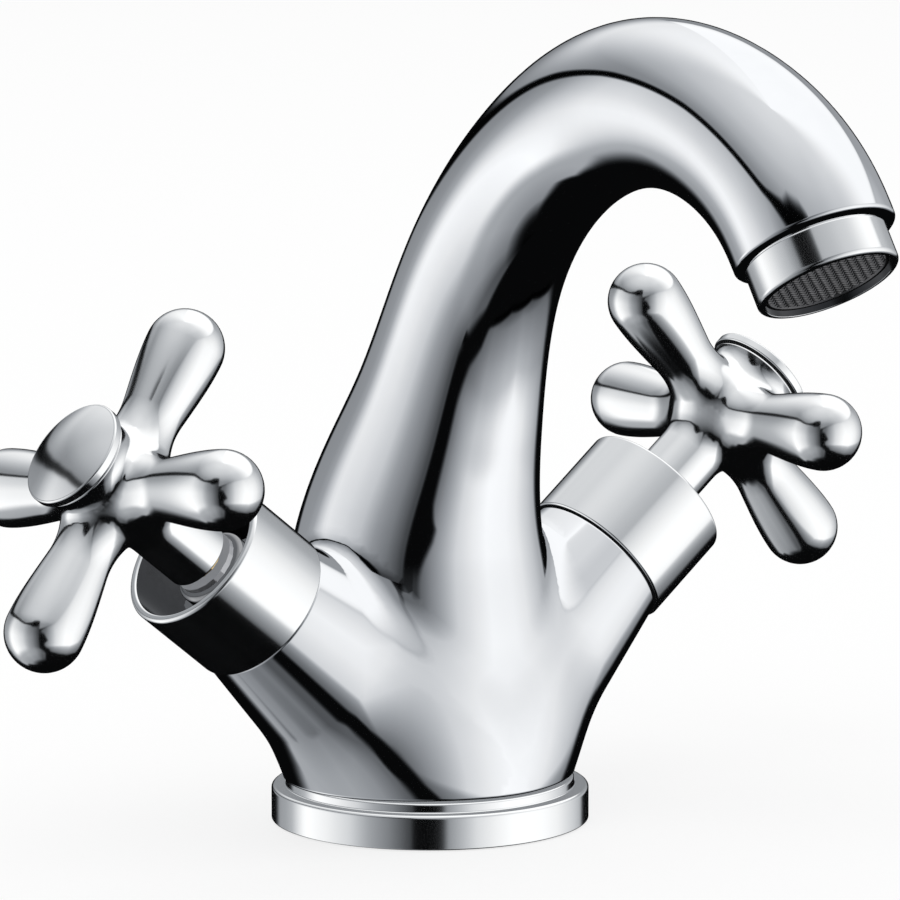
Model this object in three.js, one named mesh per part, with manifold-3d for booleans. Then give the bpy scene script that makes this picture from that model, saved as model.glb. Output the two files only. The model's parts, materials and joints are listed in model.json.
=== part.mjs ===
// Single-hole basin mixer: one casting with an arched spout, two inclined valves with cross handles,
// a base ring and an aerator. Millimetres, +Z up, spout towards -Y, origin on the deck under the body.
import * as THREE from 'three';
import { mergeVertices } from 'three/addons/utils/BufferGeometryUtils.js';
import Module from 'manifold-3d';

const wasm = await Module();
wasm.setup();

// General fits
const FIT = 0.3; // gap between pieces that rest on or in each other
const RING_PLAY = 0.15; // gap round a soft ring in its bore
const OVERRUN = 2; // how far a cutting tool runs past the face it cuts
const SKIN_CELL = 4.7; // facet size of the casting's skin
const HANDLE_CELL = 2.8; // facet size of a cross handle's skin
const LARGE_FACETS = 36;
const MIDDLE_FACETS = 20;
const SMALL_FACETS = 14;
const FINE_FACETS = 8;

// Casting: spout, column and foot
const REACH = 107.6; // body axis to the centre of the mouth
const OUTLET_HEIGHT = 106.3; // deck to the centre of the mouth
const CROWN_HEIGHT = 131.7; // deck to the top of the spout's centre line
const OUTLET_TILT = THREE.MathUtils.degToRad(33.2); // mouth turned forward from straight down
const SPOUT_RADIUS = 14;
const FOOT_RADIUS = 20;
const COLUMN_SETBACK = 3.4; // column's centre behind the body axis where it leaves the body
const COLUMN_RADIUS = 22.3; // column where it leaves the body
const COLUMN_FOOT_HEIGHT = 46.3; // deck to where the column leaves the body
// Stations of the spout above the column: reach share, crown share, radius share
const SPOUT_SHARES = [
  [0.044, 0.55, 1.214],
  [0.1444, 0.7534, 1.007],
  [0.319, 0.9169, 0.964],
  [0.5466, 1.0, 1.021],
  [0.7695, 0.982, 1.007],
  [0.9248, 0.9, 1.0035],
];
// Stations of the foot below the column: setback share, height share, share of the way to the column
const FOOT_SHARES = [
  [0.3, -0.2, 0],
  [0.3, 0.13, 0],
  [0.74, 0.605, 1.7],
];
const LINE_STEPS = 48; // short lengths that the spout's centre line is measured on

// Casting: valve arms
const AXIS_HEIGHT = 12.6; // deck to where both valve axes meet
const AXIS_RISE = THREE.MathUtils.degToRad(38.4); // valve axis above level
const ARM_LENGTH = 46.9; // meeting point to the arm's end face
const ARM_ROOT_RADIUS = 22.1;
const ARM_END_RADIUS = 13.6;
const ARM_BLEND = 12; // how softly the two arms run together
const CREASE_BLEND = 4.5; // how softly the column runs into the arms above them
const APRON_BLEND = 8; // the same before and below them
const CREASE_START = 2; // height above the valve axes where the one begins to turn into the other
const CREASE_END = 16;

// Casting: waterways
const WATERWAY_RADIUS = 9.6;
const WATERWAY_FLOOR = 37; // deck to the bottom of the mixed-water bore
const WATERWAY_STEPS = 26;
const CHAMBER_DEPTH = 17.9;
const THREAD_RADIUS = 9.9; // headwork thread, half-inch pipe
const PORT_RADIUS = 3.5;
const PORT_HEIGHT = 42.5; // where a port enters the mixed-water bore
const PORT_SETTING = 9; // port's centre inside the arm's end face
const INLET_RADIUS = 4.6;
const INLET_SPREAD = 9.5; // inlet's centre to the body's middle plane
const INLET_FORWARD = 5;
const INLET_DEPTH = 13;
const FEED_RADIUS = 3.2;
const STUD_RADIUS = 3.5;
const STUD_BACK = 13;
const STUD_DEPTH = 16;

// Base ring and its seal
const RING_RADIUS = 28;
const RING_HEIGHT = 6;
const RING_EDGE = 0.7;
const COLLAR_RADIUS = 25.4;
const COLLAR_HEIGHT = 1.6; // collar above the ring
const SEAL_GROOVE_DEPTH = 2.2;
const SEAL_INNER_RADIUS = 25.3;
const SEAL_OUTER_RADIUS = 26.9;

// Aerator
const MOUTH_SHOW = 7; // spout's end face to the mouth
const HOUSING_RADIUS = 12.2;
const HOUSING_BORE = 10.2;
const HOUSING_EDGE = 0.7;
const LIP_BORE = 9.5;
const LIP_HEIGHT = 1.2;
const HOUSING_THREAD_RADIUS = 11.4;
const HOUSING_THREAD_LENGTH = 6.6;
const AERATOR_SEAL_WIDTH = 1.5;
const AERATOR_SEAL_HEIGHT = 1.4;
const SCREEN_HEIGHT = 1.1;
const SCREEN_PITCH = 2.5;
const SCREEN_HOLE = 1.75;
const SLEEVE_HEIGHT = 4.6;
const SLEEVE_WALL = 1.3;
const JET_PLATE_HEIGHT = 2;
const JET_COUNT = 10;
const JET_RADIUS = 0.8;
const JET_CIRCLE = 6.4;

// Headwork: discs, seals and body
const SEAT_SEAL_HEIGHT = 2.5;
const SEAT_SEAL_BORE = 5.9;
const SEAT_SEAL_PROUD = 1; // seal standing out of the headwork body
const DISC_RADIUS = 7.5;
const FIXED_DISC_HEIGHT = 3;
const MOVING_DISC_HEIGHT = 3;
const WINDOW_RADIUS = 1.9;
const WINDOW_CIRCLE = 3.6;
const DRIVE_SLOT_WIDTH = 2.8;
const DRIVE_SLOT_DEPTH = 1.5;
const DRIVE_HEAD_HEIGHT = 2.6;
const THRUST_WASHER_HEIGHT = 0.8;
const SIDE_WINDOW_RADIUS = 2.2;
const BONNET_GROOVE_RADIUS = 8.5;
const BONNET_GROOVE_HEIGHT = 2;
const BONNET_GROOVE_DROP = 0.8; // groove below the arm's end face
const HEX_RADIUS = 11.4; // across corners, halved
const HEX_HEIGHT = 5.5;
const NOSE_RADIUS = 7;
const NOSE_HEIGHT = 6;
const NOSE_EDGE = 0.8;

// Spindle
const SPINDLE_RADIUS = 4;
const SPINDLE_GROOVE_RADIUS = 2.8;
const SPINDLE_RING_HEIGHT = 1.5;
const SPINDLE_RING_LIFTS = [0.24, 0.62].map((share) => share * (HEX_HEIGHT + NOSE_HEIGHT));
const CLIP_HEIGHT = 1;
const CLIP_GROOVE_RADIUS = 3;
const CLIP_RADIUS = 5.8;
const CLIP_MOUTH = 3.2; // open side of the clip
const SPLINE_RADIUS = 3.9;
const SPLINE_DEPTH = 0.5;
const SPLINE_TEETH = 12;
const SPLINE_FREE = 2; // plain stem above the clip

// Shroud
const SHROUD_RADIUS = 14.1;
const SHROUD_WALL = 1.4;
const SHROUD_LENGTH = 18;
const SHROUD_FLANGE = 1.4;
const SHROUD_EDGE = 0.6;

// Cross handle
const HANDLE_LIFT = 38; // arm's end face to the middle of the handle's arms
const HOT_TURN = THREE.MathUtils.degToRad(8.6); // how the hot handle stands when shut
const COLD_TURN = THREE.MathUtils.degToRad(-1.4);
const HANDLE_REACH = 28.4; // valve axis to the centre of a bulb
const BULB_RADIUS = 7;
const NECK_RADIUS = 4.8;
const NECK_START = 6; // valve axis to the start of a neck
const HUB_RADIUS = 9.4;
const HUB_HALF_HEIGHT = 7.6;
const WEB_BLEND = 6; // how softly the necks run into the hub
const BELL_HEIGHT = 9.5; // handle's middle to the top of the bell
const BELL_FOOT_RADIUS = 7.2;
const BELL_RIM_RADIUS = 9.6;
const BELL_BLEND = 2.5;
const BELL_START = 2; // bell's foot below the handle's middle
const BARREL_RADIUS = 6.2;
const BARREL_BLEND = 3.5;
const BARREL_SINK = 1.5; // barrel's end inside the shroud's mouth
const BARREL_LEAD = 4.6; // plain bore before the splines
const BARREL_LEAD_RADIUS = 4.6;
const RECESS_RADIUS = 6.8;
const RECESS_DROP = 1.9; // recess floor below the handle's middle
const SCREW_WEB = 2.2; // metal between the recess and the splined socket
const FLARE_SHARE = 2.2; // how late the bell opens out

// Handle screw
const SCREW_RADIUS = 2;
const SCREW_LENGTH = 11.5;
const SCREW_HEAD_RADIUS = 3.7;
const SCREW_HEAD_HEIGHT = 2.6;
const SCREW_SLOT = 1;
const SCREW_SLOT_DEPTH = 1.1;

// Index cap
const CAP_RADIUS = 9.9;
const CAP_RIM_HEIGHT = 1.6;
const CAP_DOME = 2;
const CAP_EDGE = 0.35;
const PLUG_RADIUS = 6.4;
const PLUG_LENGTH = 6;
const PLUG_GROOVE_RADIUS = 5;
const CAP_RING_HEIGHT = 1.6;
const DOME_SHARES = [0.75, 0.5, 0.25];

const FINISHES = {
  chrome: new THREE.MeshStandardMaterial({ color: 0xd6d8da, roughness: 0.08, metalness: 1 }),
  brass: new THREE.MeshStandardMaterial({ color: 0xb5914a, roughness: 0.35, metalness: 1 }),
  steel: new THREE.MeshStandardMaterial({ color: 0x9a9c9f, roughness: 0.3, metalness: 1 }),
  rubber: new THREE.MeshStandardMaterial({ color: 0x161616, roughness: 0.8, metalness: 0 }),
  ceramic: new THREE.MeshStandardMaterial({ color: 0xf0eee8, roughness: 0.25, metalness: 0 }),
  plastic: new THREE.MeshStandardMaterial({ color: 0x4a4d50, roughness: 0.5, metalness: 0 }),
};

// Solids and geometry

/** Volume that a triangle list encloses, negative where its faces point in. */
function enclosedVolume(points, triangles) {
  const [a, b, c] = [new THREE.Vector3(), new THREE.Vector3(), new THREE.Vector3()];
  let sum = 0;
  for (let i = 0; i < triangles.length; i += 3) {
    a.fromArray(points, triangles[i] * 3);
    b.fromArray(points, triangles[i + 1] * 3);
    c.fromArray(points, triangles[i + 2] * 3);
    sum += a.dot(b.cross(c));
  }
  return sum;
}

/** A closed geometry as a solid, with its faces turned outwards. */
function solidOf(geometry, matrix = null) {
  const bare = geometry.clone();
  bare.deleteAttribute('normal');
  bare.deleteAttribute('uv');
  if (matrix) bare.applyMatrix4(matrix);
  const merged = mergeVertices(bare);
  const points = merged.getAttribute('position').array;
  const corners = [];
  for (let i = 0; i < merged.index.count; i += 3) {
    const [a, b, c] = [merged.index.getX(i), merged.index.getX(i + 1), merged.index.getX(i + 2)];
    if (a !== b && b !== c && a !== c) corners.push(a, b, c);
  }
  if (enclosedVolume(points, corners) < 0) {
    for (let i = 0; i < corners.length; i += 3) {
      [corners[i + 1], corners[i + 2]] = [corners[i + 2], corners[i + 1]];
    }
  }
  return new wasm.Manifold(new wasm.Mesh({
    numProp: 3,
    vertProperties: new Float32Array(points),
    triVerts: new Uint32Array(corners),
  }));
}

/** A solid as a geometry with flat facets. */
function geometryOf(solid) {
  const mesh = solid.getMesh();
  const geometry = new THREE.BufferGeometry();
  geometry.setAttribute('position', new THREE.BufferAttribute(new Float32Array(mesh.vertProperties), 3));
  geometry.setIndex(new THREE.BufferAttribute(new Uint32Array(mesh.triVerts), 1));
  geometry.computeVertexNormals();
  return geometry;
}

/** A round solid turned about +Z from [radius, height] points that start and end on the axis or close. */
function turned(outline, facets) {
  const points = outline.map(([radius, height]) => new THREE.Vector2(radius, height));
  return new THREE.LatheGeometry(points, facets).rotateX(Math.PI / 2);
}

/** A plain disc or rod about +Z. */
function rod(radius, low, high, facets) {
  return turned([[0, low], [radius, low], [radius, high], [0, high]], facets);
}

/** A plain ring of square section about +Z. */
function ring(inner, outer, low, high, facets) {
  return turned([[inner, low], [outer, low], [outer, high], [inner, high], [inner, low]], facets);
}

/** A soft ring with its corners taken off, about +Z. */
function softRing(inner, outer, low, high, facets) {
  const edge = Math.min(outer - inner, high - low) / 4;
  return turned([
    [inner, low + edge], [inner + edge, low], [outer - edge, low], [outer, low + edge],
    [outer, high - edge], [outer - edge, high], [inner + edge, high], [inner, high - edge],
    [inner, low + edge],
  ], facets);
}

/** A prism of the given outline, from one height to another. */
function prism(outline, low, high) {
  const shape = new THREE.Shape(outline.map(([x, y]) => new THREE.Vector2(x, y)));
  const geometry = new THREE.ExtrudeGeometry(shape, { depth: high - low, bevelEnabled: false });
  return geometry.translate(0, 0, low);
}

/** Corners of a regular or toothed outline, radii taken in turn. */
function starOutline(radii, count) {
  const outline = [];
  for (let i = 0; i < count; i += 1) {
    const radius = radii[i % radii.length];
    const angle = (2 * Math.PI * i) / count;
    outline.push([radius * Math.cos(angle), radius * Math.sin(angle)]);
  }
  return outline;
}

/** A box between two corners. */
function block(low, high) {
  const size = [0, 1, 2].map((i) => high[i] - low[i]);
  const middle = [0, 1, 2].map((i) => (high[i] + low[i]) / 2);
  return new THREE.BoxGeometry(...size).translate(...middle);
}

/** A rod between two points in space. */
function rodBetween(start, end, radius, facets) {
  const along = end.clone().sub(start);
  const turn = new THREE.Quaternion().setFromUnitVectors(
    new THREE.Vector3(0, 0, 1), along.clone().normalize());
  return rod(radius, 0, along.length(), facets)
    .applyMatrix4(new THREE.Matrix4().compose(start, turn, new THREE.Vector3(1, 1, 1)));
}

// Smooth skins

/** The lesser of two distances, run together over a blend length. */
function blended(a, b, blend) {
  const mix = THREE.MathUtils.clamp((b - a) / (2 * blend) + 0.5, 0, 1);
  return b + (a - b) * mix - blend * mix * (1 - mix);
}

/** Natural cubic spline through values at rising places. */
function spline(places, values) {
  const last = places.length - 1;
  const gap = places.slice(1).map((place, i) => place - places[i]);
  const bend = new Array(last + 1).fill(0);
  const [upper, right] = [new Array(last + 1).fill(0), new Array(last + 1).fill(0)];
  for (let i = 1; i < last; i += 1) {
    const slopes = (values[i + 1] - values[i]) / gap[i] - (values[i] - values[i - 1]) / gap[i - 1];
    const pivot = 2 * (gap[i - 1] + gap[i]) - gap[i - 1] * upper[i - 1];
    upper[i] = gap[i] / pivot;
    right[i] = (6 * slopes - gap[i - 1] * right[i - 1]) / pivot;
  }
  for (let i = last - 1; i > 0; i -= 1) bend[i] = right[i] - upper[i] * bend[i + 1];
  return (place) => {
    let i = 0;
    while (i < last - 1 && place > places[i + 1]) i += 1;
    const [a, b] = [(places[i + 1] - place) / gap[i], (place - places[i]) / gap[i]];
    const curve = ((a ** 3 - a) * bend[i] + (b ** 3 - b) * bend[i + 1]) * gap[i] ** 2 / 6;
    return a * values[i] + b * values[i + 1] + curve;
  };
}

/** A closed skin of even facets where a distance field changes sign. */
function skin(field, low, high, cell) {
  const count = [0, 1, 2].map((i) => Math.ceil((high[i] - low[i]) / cell) + 5);
  const place = (i, axis) => low[axis] + (i - 2) * cell;
  const at = (i, j, k) => (i * count[1] + j) * count[2] + k;
  const values = new Float64Array(count[0] * count[1] * count[2]);
  for (let i = 0; i < count[0]; i += 1) {
    for (let j = 0; j < count[1]; j += 1) {
      for (let k = 0; k < count[2]; k += 1) {
        values[at(i, j, k)] = field(place(i, 0), place(j, 1), place(k, 2));
      }
    }
  }
  joinCorners(values, count, at, cell);
  const sums = new Map();
  const quads = [];
  const step = [[1, 0, 0], [0, 1, 0], [0, 0, 1]];
  for (let i = 1; i < count[0] - 1; i += 1) {
    for (let j = 1; j < count[1] - 1; j += 1) {
      for (let k = 1; k < count[2] - 1; k += 1) {
        for (let axis = 0; axis < 3; axis += 1) {
          const here = values[at(i, j, k)];
          const next = values[at(i + step[axis][0], j + step[axis][1], k + step[axis][2])];
          if ((here < 0) === (next < 0)) continue;
          const crossing = [place(i, 0), place(j, 1), place(k, 2)];
          crossing[axis] += cell * here / (here - next);
          const [u, v] = [step[(axis + 1) % 3], step[(axis + 2) % 3]];
          const around = [[0, 0], [1, 0], [1, 1], [0, 1]].map(([a, b]) => (
            at(i - a * u[0] - b * v[0], j - a * u[1] - b * v[1], k - a * u[2] - b * v[2])));
          for (const key of around) {
            const sum = sums.get(key) ?? [0, 0, 0, 0];
            sums.set(key, [sum[0] + crossing[0], sum[1] + crossing[1], sum[2] + crossing[2], sum[3] + 1]);
          }
          quads.push(here < 0 ? around : around.reverse());
        }
      }
    }
  }
  const number = new Map();
  const points = [];
  for (const [key, sum] of sums) {
    number.set(key, points.length / 3);
    points.push(...settled(field, sum.slice(0, 3).map((value) => value / sum[3]), cell));
  }
  const triangles = [];
  for (const quad of quads) {
    const [a, b, c, d] = quad.map((key) => number.get(key));
    const apart = (p, q) => Math.hypot(...[0, 1, 2].map((i) => points[3 * p + i] - points[3 * q + i]));
    if (apart(a, c) < apart(b, d)) triangles.push(a, b, c, a, c, d);
    else triangles.push(b, c, d, b, d, a);
  }
  const geometry = new THREE.BufferGeometry();
  geometry.setAttribute('position', new THREE.BufferAttribute(new Float32Array(points), 3));
  geometry.setIndex(triangles);
  return geometry;
}

/** Fills places where solid corners of a cell meet only across a diagonal, so that the skin stays whole. */
function joinCorners(values, count, at, cell) {
  const corners = [];
  for (let i = 0; i < 8; i += 1) corners.push([i & 1, (i >> 1) & 1, (i >> 2) & 1]);
  const faces = [];
  for (let axis = 0; axis < 3; axis += 1) {
    for (const side of [0, 1]) {
      const face = [[0, 0], [1, 0], [1, 1], [0, 1]].map(([a, b]) => {
        const corner = [0, 0, 0];
        [corner[axis], corner[(axis + 1) % 3], corner[(axis + 2) % 3]] = [side, a, b];
        return corner;
      });
      faces.push(face);
    }
  }
  const fill = (keys) => {
    const open = keys.filter((key) => values[key] >= 0);
    const nearest = open.reduce((best, key) => (values[key] < values[best] ? key : best));
    values[nearest] = -cell / 10;
  };
  let changed = true;
  while (changed) {
    changed = false;
    for (let i = 0; i < count[0] - 1; i += 1) {
      for (let j = 0; j < count[1] - 1; j += 1) {
        for (let k = 0; k < count[2] - 1; k += 1) {
          const keyOf = ([a, b, c]) => at(i + a, j + b, k + c);
          const solid = corners.map((corner) => values[keyOf(corner)] < 0);
          const total = solid.filter(Boolean).length;
          if (total === 0 || total === 8) continue;
          for (const face of faces) {
            const keys = face.map(keyOf);
            const [a, b, c, d] = keys.map((key) => values[key] < 0);
            if (a !== b && a === c && b === d) {
              fill(keys);
              changed = true;
            }
          }
          const lone = [0, 1, 2, 3].some((n) => solid[n] && solid[7 - n]);
          const loneGap = [0, 1, 2, 3].some((n) => !solid[n] && !solid[7 - n]);
          if ((total === 2 && lone) || (total === 6 && loneGap)) {
            fill(corners.map(keyOf));
            changed = true;
          }
        }
      }
    }
  }
}

/** A point moved onto the zero surface of a field, by no more than half a cell. */
function settled(field, start, cell) {
  const probe = cell / 100;
  let point = start;
  for (let round = 0; round < 3; round += 1) {
    const value = field(...point);
    const slope = [0, 1, 2].map((axis) => {
      const [more, less] = [[...point], [...point]];
      more[axis] += probe;
      less[axis] -= probe;
      return (field(...more) - field(...less)) / (2 * probe);
    });
    const steep = slope.reduce((sum, part) => sum + part * part, 0);
    if (steep === 0) return point;
    point = point.map((part, axis) => part - slope[axis] * value / steep);
  }
  const shift = Math.hypot(...point.map((part, axis) => part - start[axis]));
  const keep = Math.min(1, cell / 2 / Math.max(shift, probe));
  return start.map((part, axis) => part + (point[axis] - part) * keep);
}

// Places that several pieces share

const shroudEnd = ARM_LENGTH + SHROUD_LENGTH;
const handlePlane = ARM_LENGTH + HANDLE_LIFT;
const chamberFloor = ARM_LENGTH - CHAMBER_DEPTH;
const bonnetFoot = chamberFloor + SEAT_SEAL_PROUD;
const seatSealFoot = chamberFloor + FIT;
const fixedDiscFoot = seatSealFoot + SEAT_SEAL_HEIGHT + FIT;
const movingDiscFoot = fixedDiscFoot + FIXED_DISC_HEIGHT + FIT;
const driveHeadFoot = movingDiscFoot + MOVING_DISC_HEIGHT + FIT;
const thrustWasherFoot = driveHeadFoot + DRIVE_HEAD_HEIGHT + FIT;
const cavityRoof = thrustWasherFoot + THRUST_WASHER_HEIGHT + FIT;
const shroudFlangeFoot = ARM_LENGTH + FIT;
const hexFoot = shroudFlangeFoot + SHROUD_FLANGE + FIT;
const noseTop = hexFoot + HEX_HEIGHT + NOSE_HEIGHT;
const clipFoot = noseTop + FIT;
const splineFoot = clipFoot + CLIP_HEIGHT + SPLINE_FREE;
const barrelFoot = shroudEnd - BARREL_SINK;
const recessFloor = handlePlane - RECESS_DROP;
const socketRoof = recessFloor - SCREW_WEB;
const spindleTop = socketRoof - FIT;
const bellTop = handlePlane + BELL_HEIGHT;
const capFoot = bellTop + FIT;
const chamberRadius = THREAD_RADIUS + FIT;
const spindleBore = SPINDLE_RADIUS + FIT;
const cavityRadius = DISC_RADIUS + FIT;
const housingTop = MOUTH_SHOW + HOUSING_THREAD_LENGTH;
const outletShoulder = housingTop + FIT + AERATOR_SEAL_HEIGHT + FIT;
const outletBore = HOUSING_THREAD_RADIUS + FIT;

/** Frame of a valve: its +Z runs outwards along the valve axis. Side is -1 for hot and 1 for cold. */
function valveFrame(side) {
  const turn = new THREE.Matrix4().makeRotationY(side * (Math.PI / 2 - AXIS_RISE));
  return new THREE.Matrix4().makeTranslation(0, 0, AXIS_HEIGHT).multiply(turn);
}

/** Frame of the outlet: origin in the middle of the mouth, its +Z runs back up into the spout. */
function outletFrame() {
  const turn = new THREE.Matrix4().makeRotationX(-OUTLET_TILT);
  return new THREE.Matrix4().makeTranslation(0, -REACH, OUTLET_HEIGHT).multiply(turn);
}

/** Centre line of the spout and column, with its radius, as functions of the length along it. */
function spoutLine() {
  const rows = FOOT_SHARES.map(([back, height, way]) => [
    COLUMN_SETBACK * back,
    COLUMN_FOOT_HEIGHT * height,
    FOOT_RADIUS + (COLUMN_RADIUS - FOOT_RADIUS) * way,
  ]);
  rows.push([COLUMN_SETBACK, COLUMN_FOOT_HEIGHT, COLUMN_RADIUS]);
  for (const [out, up, girth] of SPOUT_SHARES) {
    rows.push([-REACH * out, CROWN_HEIGHT * up, SPOUT_RADIUS * girth]);
  }
  rows.push([-REACH, OUTLET_HEIGHT, SPOUT_RADIUS]);
  const places = [0];
  for (let i = 1; i < rows.length; i += 1) {
    places.push(places[i - 1] + Math.hypot(rows[i][0] - rows[i - 1][0], rows[i][1] - rows[i - 1][1]));
  }
  const [depth, height, radius] = [0, 1, 2].map((k) => spline(places, rows.map((row) => row[k])));
  return { depth, height, radius, length: places.at(-1) };
}

/** Distance to the spout and column. */
function spoutField(line) {
  const marks = Array.from({ length: LINE_STEPS + 1 }, (_, i) => {
    const place = line.length * i / LINE_STEPS;
    return [line.depth(place), line.height(place), line.radius(place)];
  });
  return (x, y, z) => {
    let least = Infinity;
    for (let i = 0; i < LINE_STEPS; i += 1) {
      const [a, b] = [marks[i], marks[i + 1]];
      const [dy, dz] = [b[0] - a[0], b[1] - a[1]];
      const way = THREE.MathUtils.clamp(
        ((y - a[0]) * dy + (z - a[1]) * dz) / (dy * dy + dz * dz), 0, 1);
      const off = Math.hypot(x, y - a[0] - way * dy, z - a[1] - way * dz);
      least = Math.min(least, off - a[2] - way * (b[2] - a[2]));
    }
    return least;
  };
}

/** Distance to one valve arm, which ends a little past its end face. */
function armField(side) {
  const [dx, dz] = [side * Math.cos(AXIS_RISE), Math.sin(AXIS_RISE)];
  const taper = (ARM_END_RADIUS - ARM_ROOT_RADIUS) / ARM_LENGTH;
  return (x, y, z) => {
    const along = x * dx + (z - AXIS_HEIGHT) * dz;
    const away = Math.sqrt(Math.max(x * x + y * y + (z - AXIS_HEIGHT) ** 2 - along * along, 0));
    if (along < 0) return Math.hypot(away, along) - ARM_ROOT_RADIUS;
    return Math.max(away - ARM_ROOT_RADIUS - taper * along, along - ARM_LENGTH - 2 * OVERRUN);
  };
}

/** Skin of the casting before anything is bored or faced. */
function castingSkin() {
  const column = spoutField(spoutLine());
  const [hot, cold] = [armField(-1), armField(1)];
  const field = (x, y, z) => {
    const above = z - AXIS_HEIGHT - Math.abs(x) * Math.tan(AXIS_RISE);
    const blend = APRON_BLEND
      + (CREASE_BLEND - APRON_BLEND) * THREE.MathUtils.smoothstep(above, CREASE_START, CREASE_END);
    const arms = blended(hot(x, y, z), cold(x, y, z), ARM_BLEND);
    return Math.max(blended(column(x, y, z), arms, blend), -z - 2 * OVERRUN);
  };
  const side = ARM_LENGTH + ARM_ROOT_RADIUS;
  const room = SPOUT_RADIUS;
  return skin(field, [-side, -REACH - room, -room], [side, FOOT_RADIUS + room, CROWN_HEIGHT + room],
    SKIN_CELL);
}

/** Everything that is bored or faced away from one arm of the casting. */
function valveCuts(side) {
  const frame = valveFrame(side);
  const facing = rod(ARM_END_RADIUS + OVERRUN, ARM_LENGTH, ARM_LENGTH + 4 * OVERRUN, MIDDLE_FACETS);
  const chamber = rod(chamberRadius, chamberFloor, ARM_LENGTH + OVERRUN, MIDDLE_FACETS);
  const seat = new THREE.Vector3(0, 0, chamberFloor + FIT).applyMatrix4(frame);
  const inlet = new THREE.Vector3(side * INLET_SPREAD, -INLET_FORWARD, INLET_DEPTH - FEED_RADIUS);
  const portStart = new THREE.Vector3(0, 0, ARM_LENGTH - PORT_SETTING).applyMatrix4(frame);
  const portEnd = new THREE.Vector3(0, COLUMN_SETBACK, PORT_HEIGHT);
  return [
    solidOf(facing, frame),
    solidOf(chamber, frame),
    solidOf(rodBetween(inlet, seat, FEED_RADIUS, SMALL_FACETS)),
    solidOf(rodBetween(portStart, portEnd, PORT_RADIUS, SMALL_FACETS)),
    solidOf(rod(INLET_RADIUS, -OVERRUN, INLET_DEPTH, SMALL_FACETS)
      .translate(side * INLET_SPREAD, -INLET_FORWARD, 0)),
  ];
}

/** Bore that carries mixed water up the column and along the spout. */
function waterway() {
  const line = spoutLine();
  const frame = outletFrame();
  const start = placeAtHeight(line, WATERWAY_FLOOR);
  const end = new THREE.Vector3(0, 0, outletShoulder - OVERRUN / 2).applyMatrix4(frame);
  const points = [];
  for (let i = 0; i < WATERWAY_STEPS; i += 1) {
    const place = start + (line.length - start) * i / WATERWAY_STEPS;
    const point = new THREE.Vector3(0, line.depth(place), line.height(place));
    if (point.distanceTo(end) > WATERWAY_RADIUS && place < line.length - outletShoulder) {
      points.push(point);
    }
  }
  points.push(end);
  const shape = new THREE.Shape(starOutline([WATERWAY_RADIUS], SMALL_FACETS)
    .map(([x, y]) => new THREE.Vector2(x, y)));
  return new THREE.ExtrudeGeometry(shape, {
    steps: WATERWAY_STEPS,
    bevelEnabled: false,
    extrudePath: new THREE.CatmullRomCurve3(points),
  });
}

/** Length along the centre line where it passes a height on its way up. */
function placeAtHeight(line, height) {
  let [low, high] = [0, line.length / 2];
  for (let round = 0; round < 40; round += 1) {
    const middle = (low + high) / 2;
    if (line.height(middle) < height) low = middle;
    else high = middle;
  }
  return low;
}

/** The casting: body, arms and spout in one piece, faced and bored. */
function castingSolid() {
  const frame = outletFrame();
  const under = rod(2 * RING_RADIUS, -RING_RADIUS, 0, LARGE_FACETS);
  const round = ring(FOOT_RADIUS, 2 * RING_RADIUS, -OVERRUN, RING_HEIGHT + COLLAR_HEIGHT + FIT, LARGE_FACETS);
  const endFacing = rod(SPOUT_RADIUS + 2 * OVERRUN, MOUTH_SHOW - RING_RADIUS, MOUTH_SHOW, MIDDLE_FACETS);
  const endBore = rod(outletBore, MOUTH_SHOW - OVERRUN, outletShoulder, MIDDLE_FACETS);
  const stud = rod(STUD_RADIUS, -OVERRUN, STUD_DEPTH, SMALL_FACETS).translate(0, STUD_BACK, 0);
  const cuts = [
    solidOf(under), solidOf(round), solidOf(endFacing, frame), solidOf(endBore, frame), solidOf(stud),
    solidOf(waterway()), ...valveCuts(-1), ...valveCuts(1),
  ];
  return cuts.reduce((body, cut) => body.subtract(cut), solidOf(castingSkin()));
}

// Base

/** Ring on the deck round the foot, with its collar and the groove for its seal. */
function baseRing() {
  const bore = FOOT_RADIUS + FIT;
  const groove = [SEAL_INNER_RADIUS - FIT, SEAL_OUTER_RADIUS + FIT, SEAL_GROOVE_DEPTH + FIT];
  return turned([
    [bore, 0], [groove[0], 0], [groove[0], groove[2]], [groove[1], groove[2]], [groove[1], 0],
    [RING_RADIUS, 0], [RING_RADIUS, RING_HEIGHT - RING_EDGE], [RING_RADIUS - RING_EDGE, RING_HEIGHT],
    [COLLAR_RADIUS, RING_HEIGHT], [COLLAR_RADIUS, RING_HEIGHT + COLLAR_HEIGHT],
    [bore, RING_HEIGHT + COLLAR_HEIGHT], [bore, 0],
  ], LARGE_FACETS);
}

/** Rubber seal under the base ring. */
function baseSeal() {
  return ring(SEAL_INNER_RADIUS, SEAL_OUTER_RADIUS, 0, SEAL_GROOVE_DEPTH, LARGE_FACETS);
}

// Aerator, in the outlet's frame

/** Chrome ring at the mouth, screwed into the spout. */
function aeratorHousing() {
  const shoulder = MOUTH_SHOW - FIT;
  return turned([
    [LIP_BORE, 0], [HOUSING_RADIUS - HOUSING_EDGE, 0], [HOUSING_RADIUS, HOUSING_EDGE],
    [HOUSING_RADIUS, shoulder], [HOUSING_THREAD_RADIUS, shoulder], [HOUSING_THREAD_RADIUS, housingTop],
    [HOUSING_BORE, housingTop], [HOUSING_BORE, LIP_HEIGHT], [LIP_BORE, LIP_HEIGHT], [LIP_BORE, 0],
  ], MIDDLE_FACETS);
}

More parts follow.
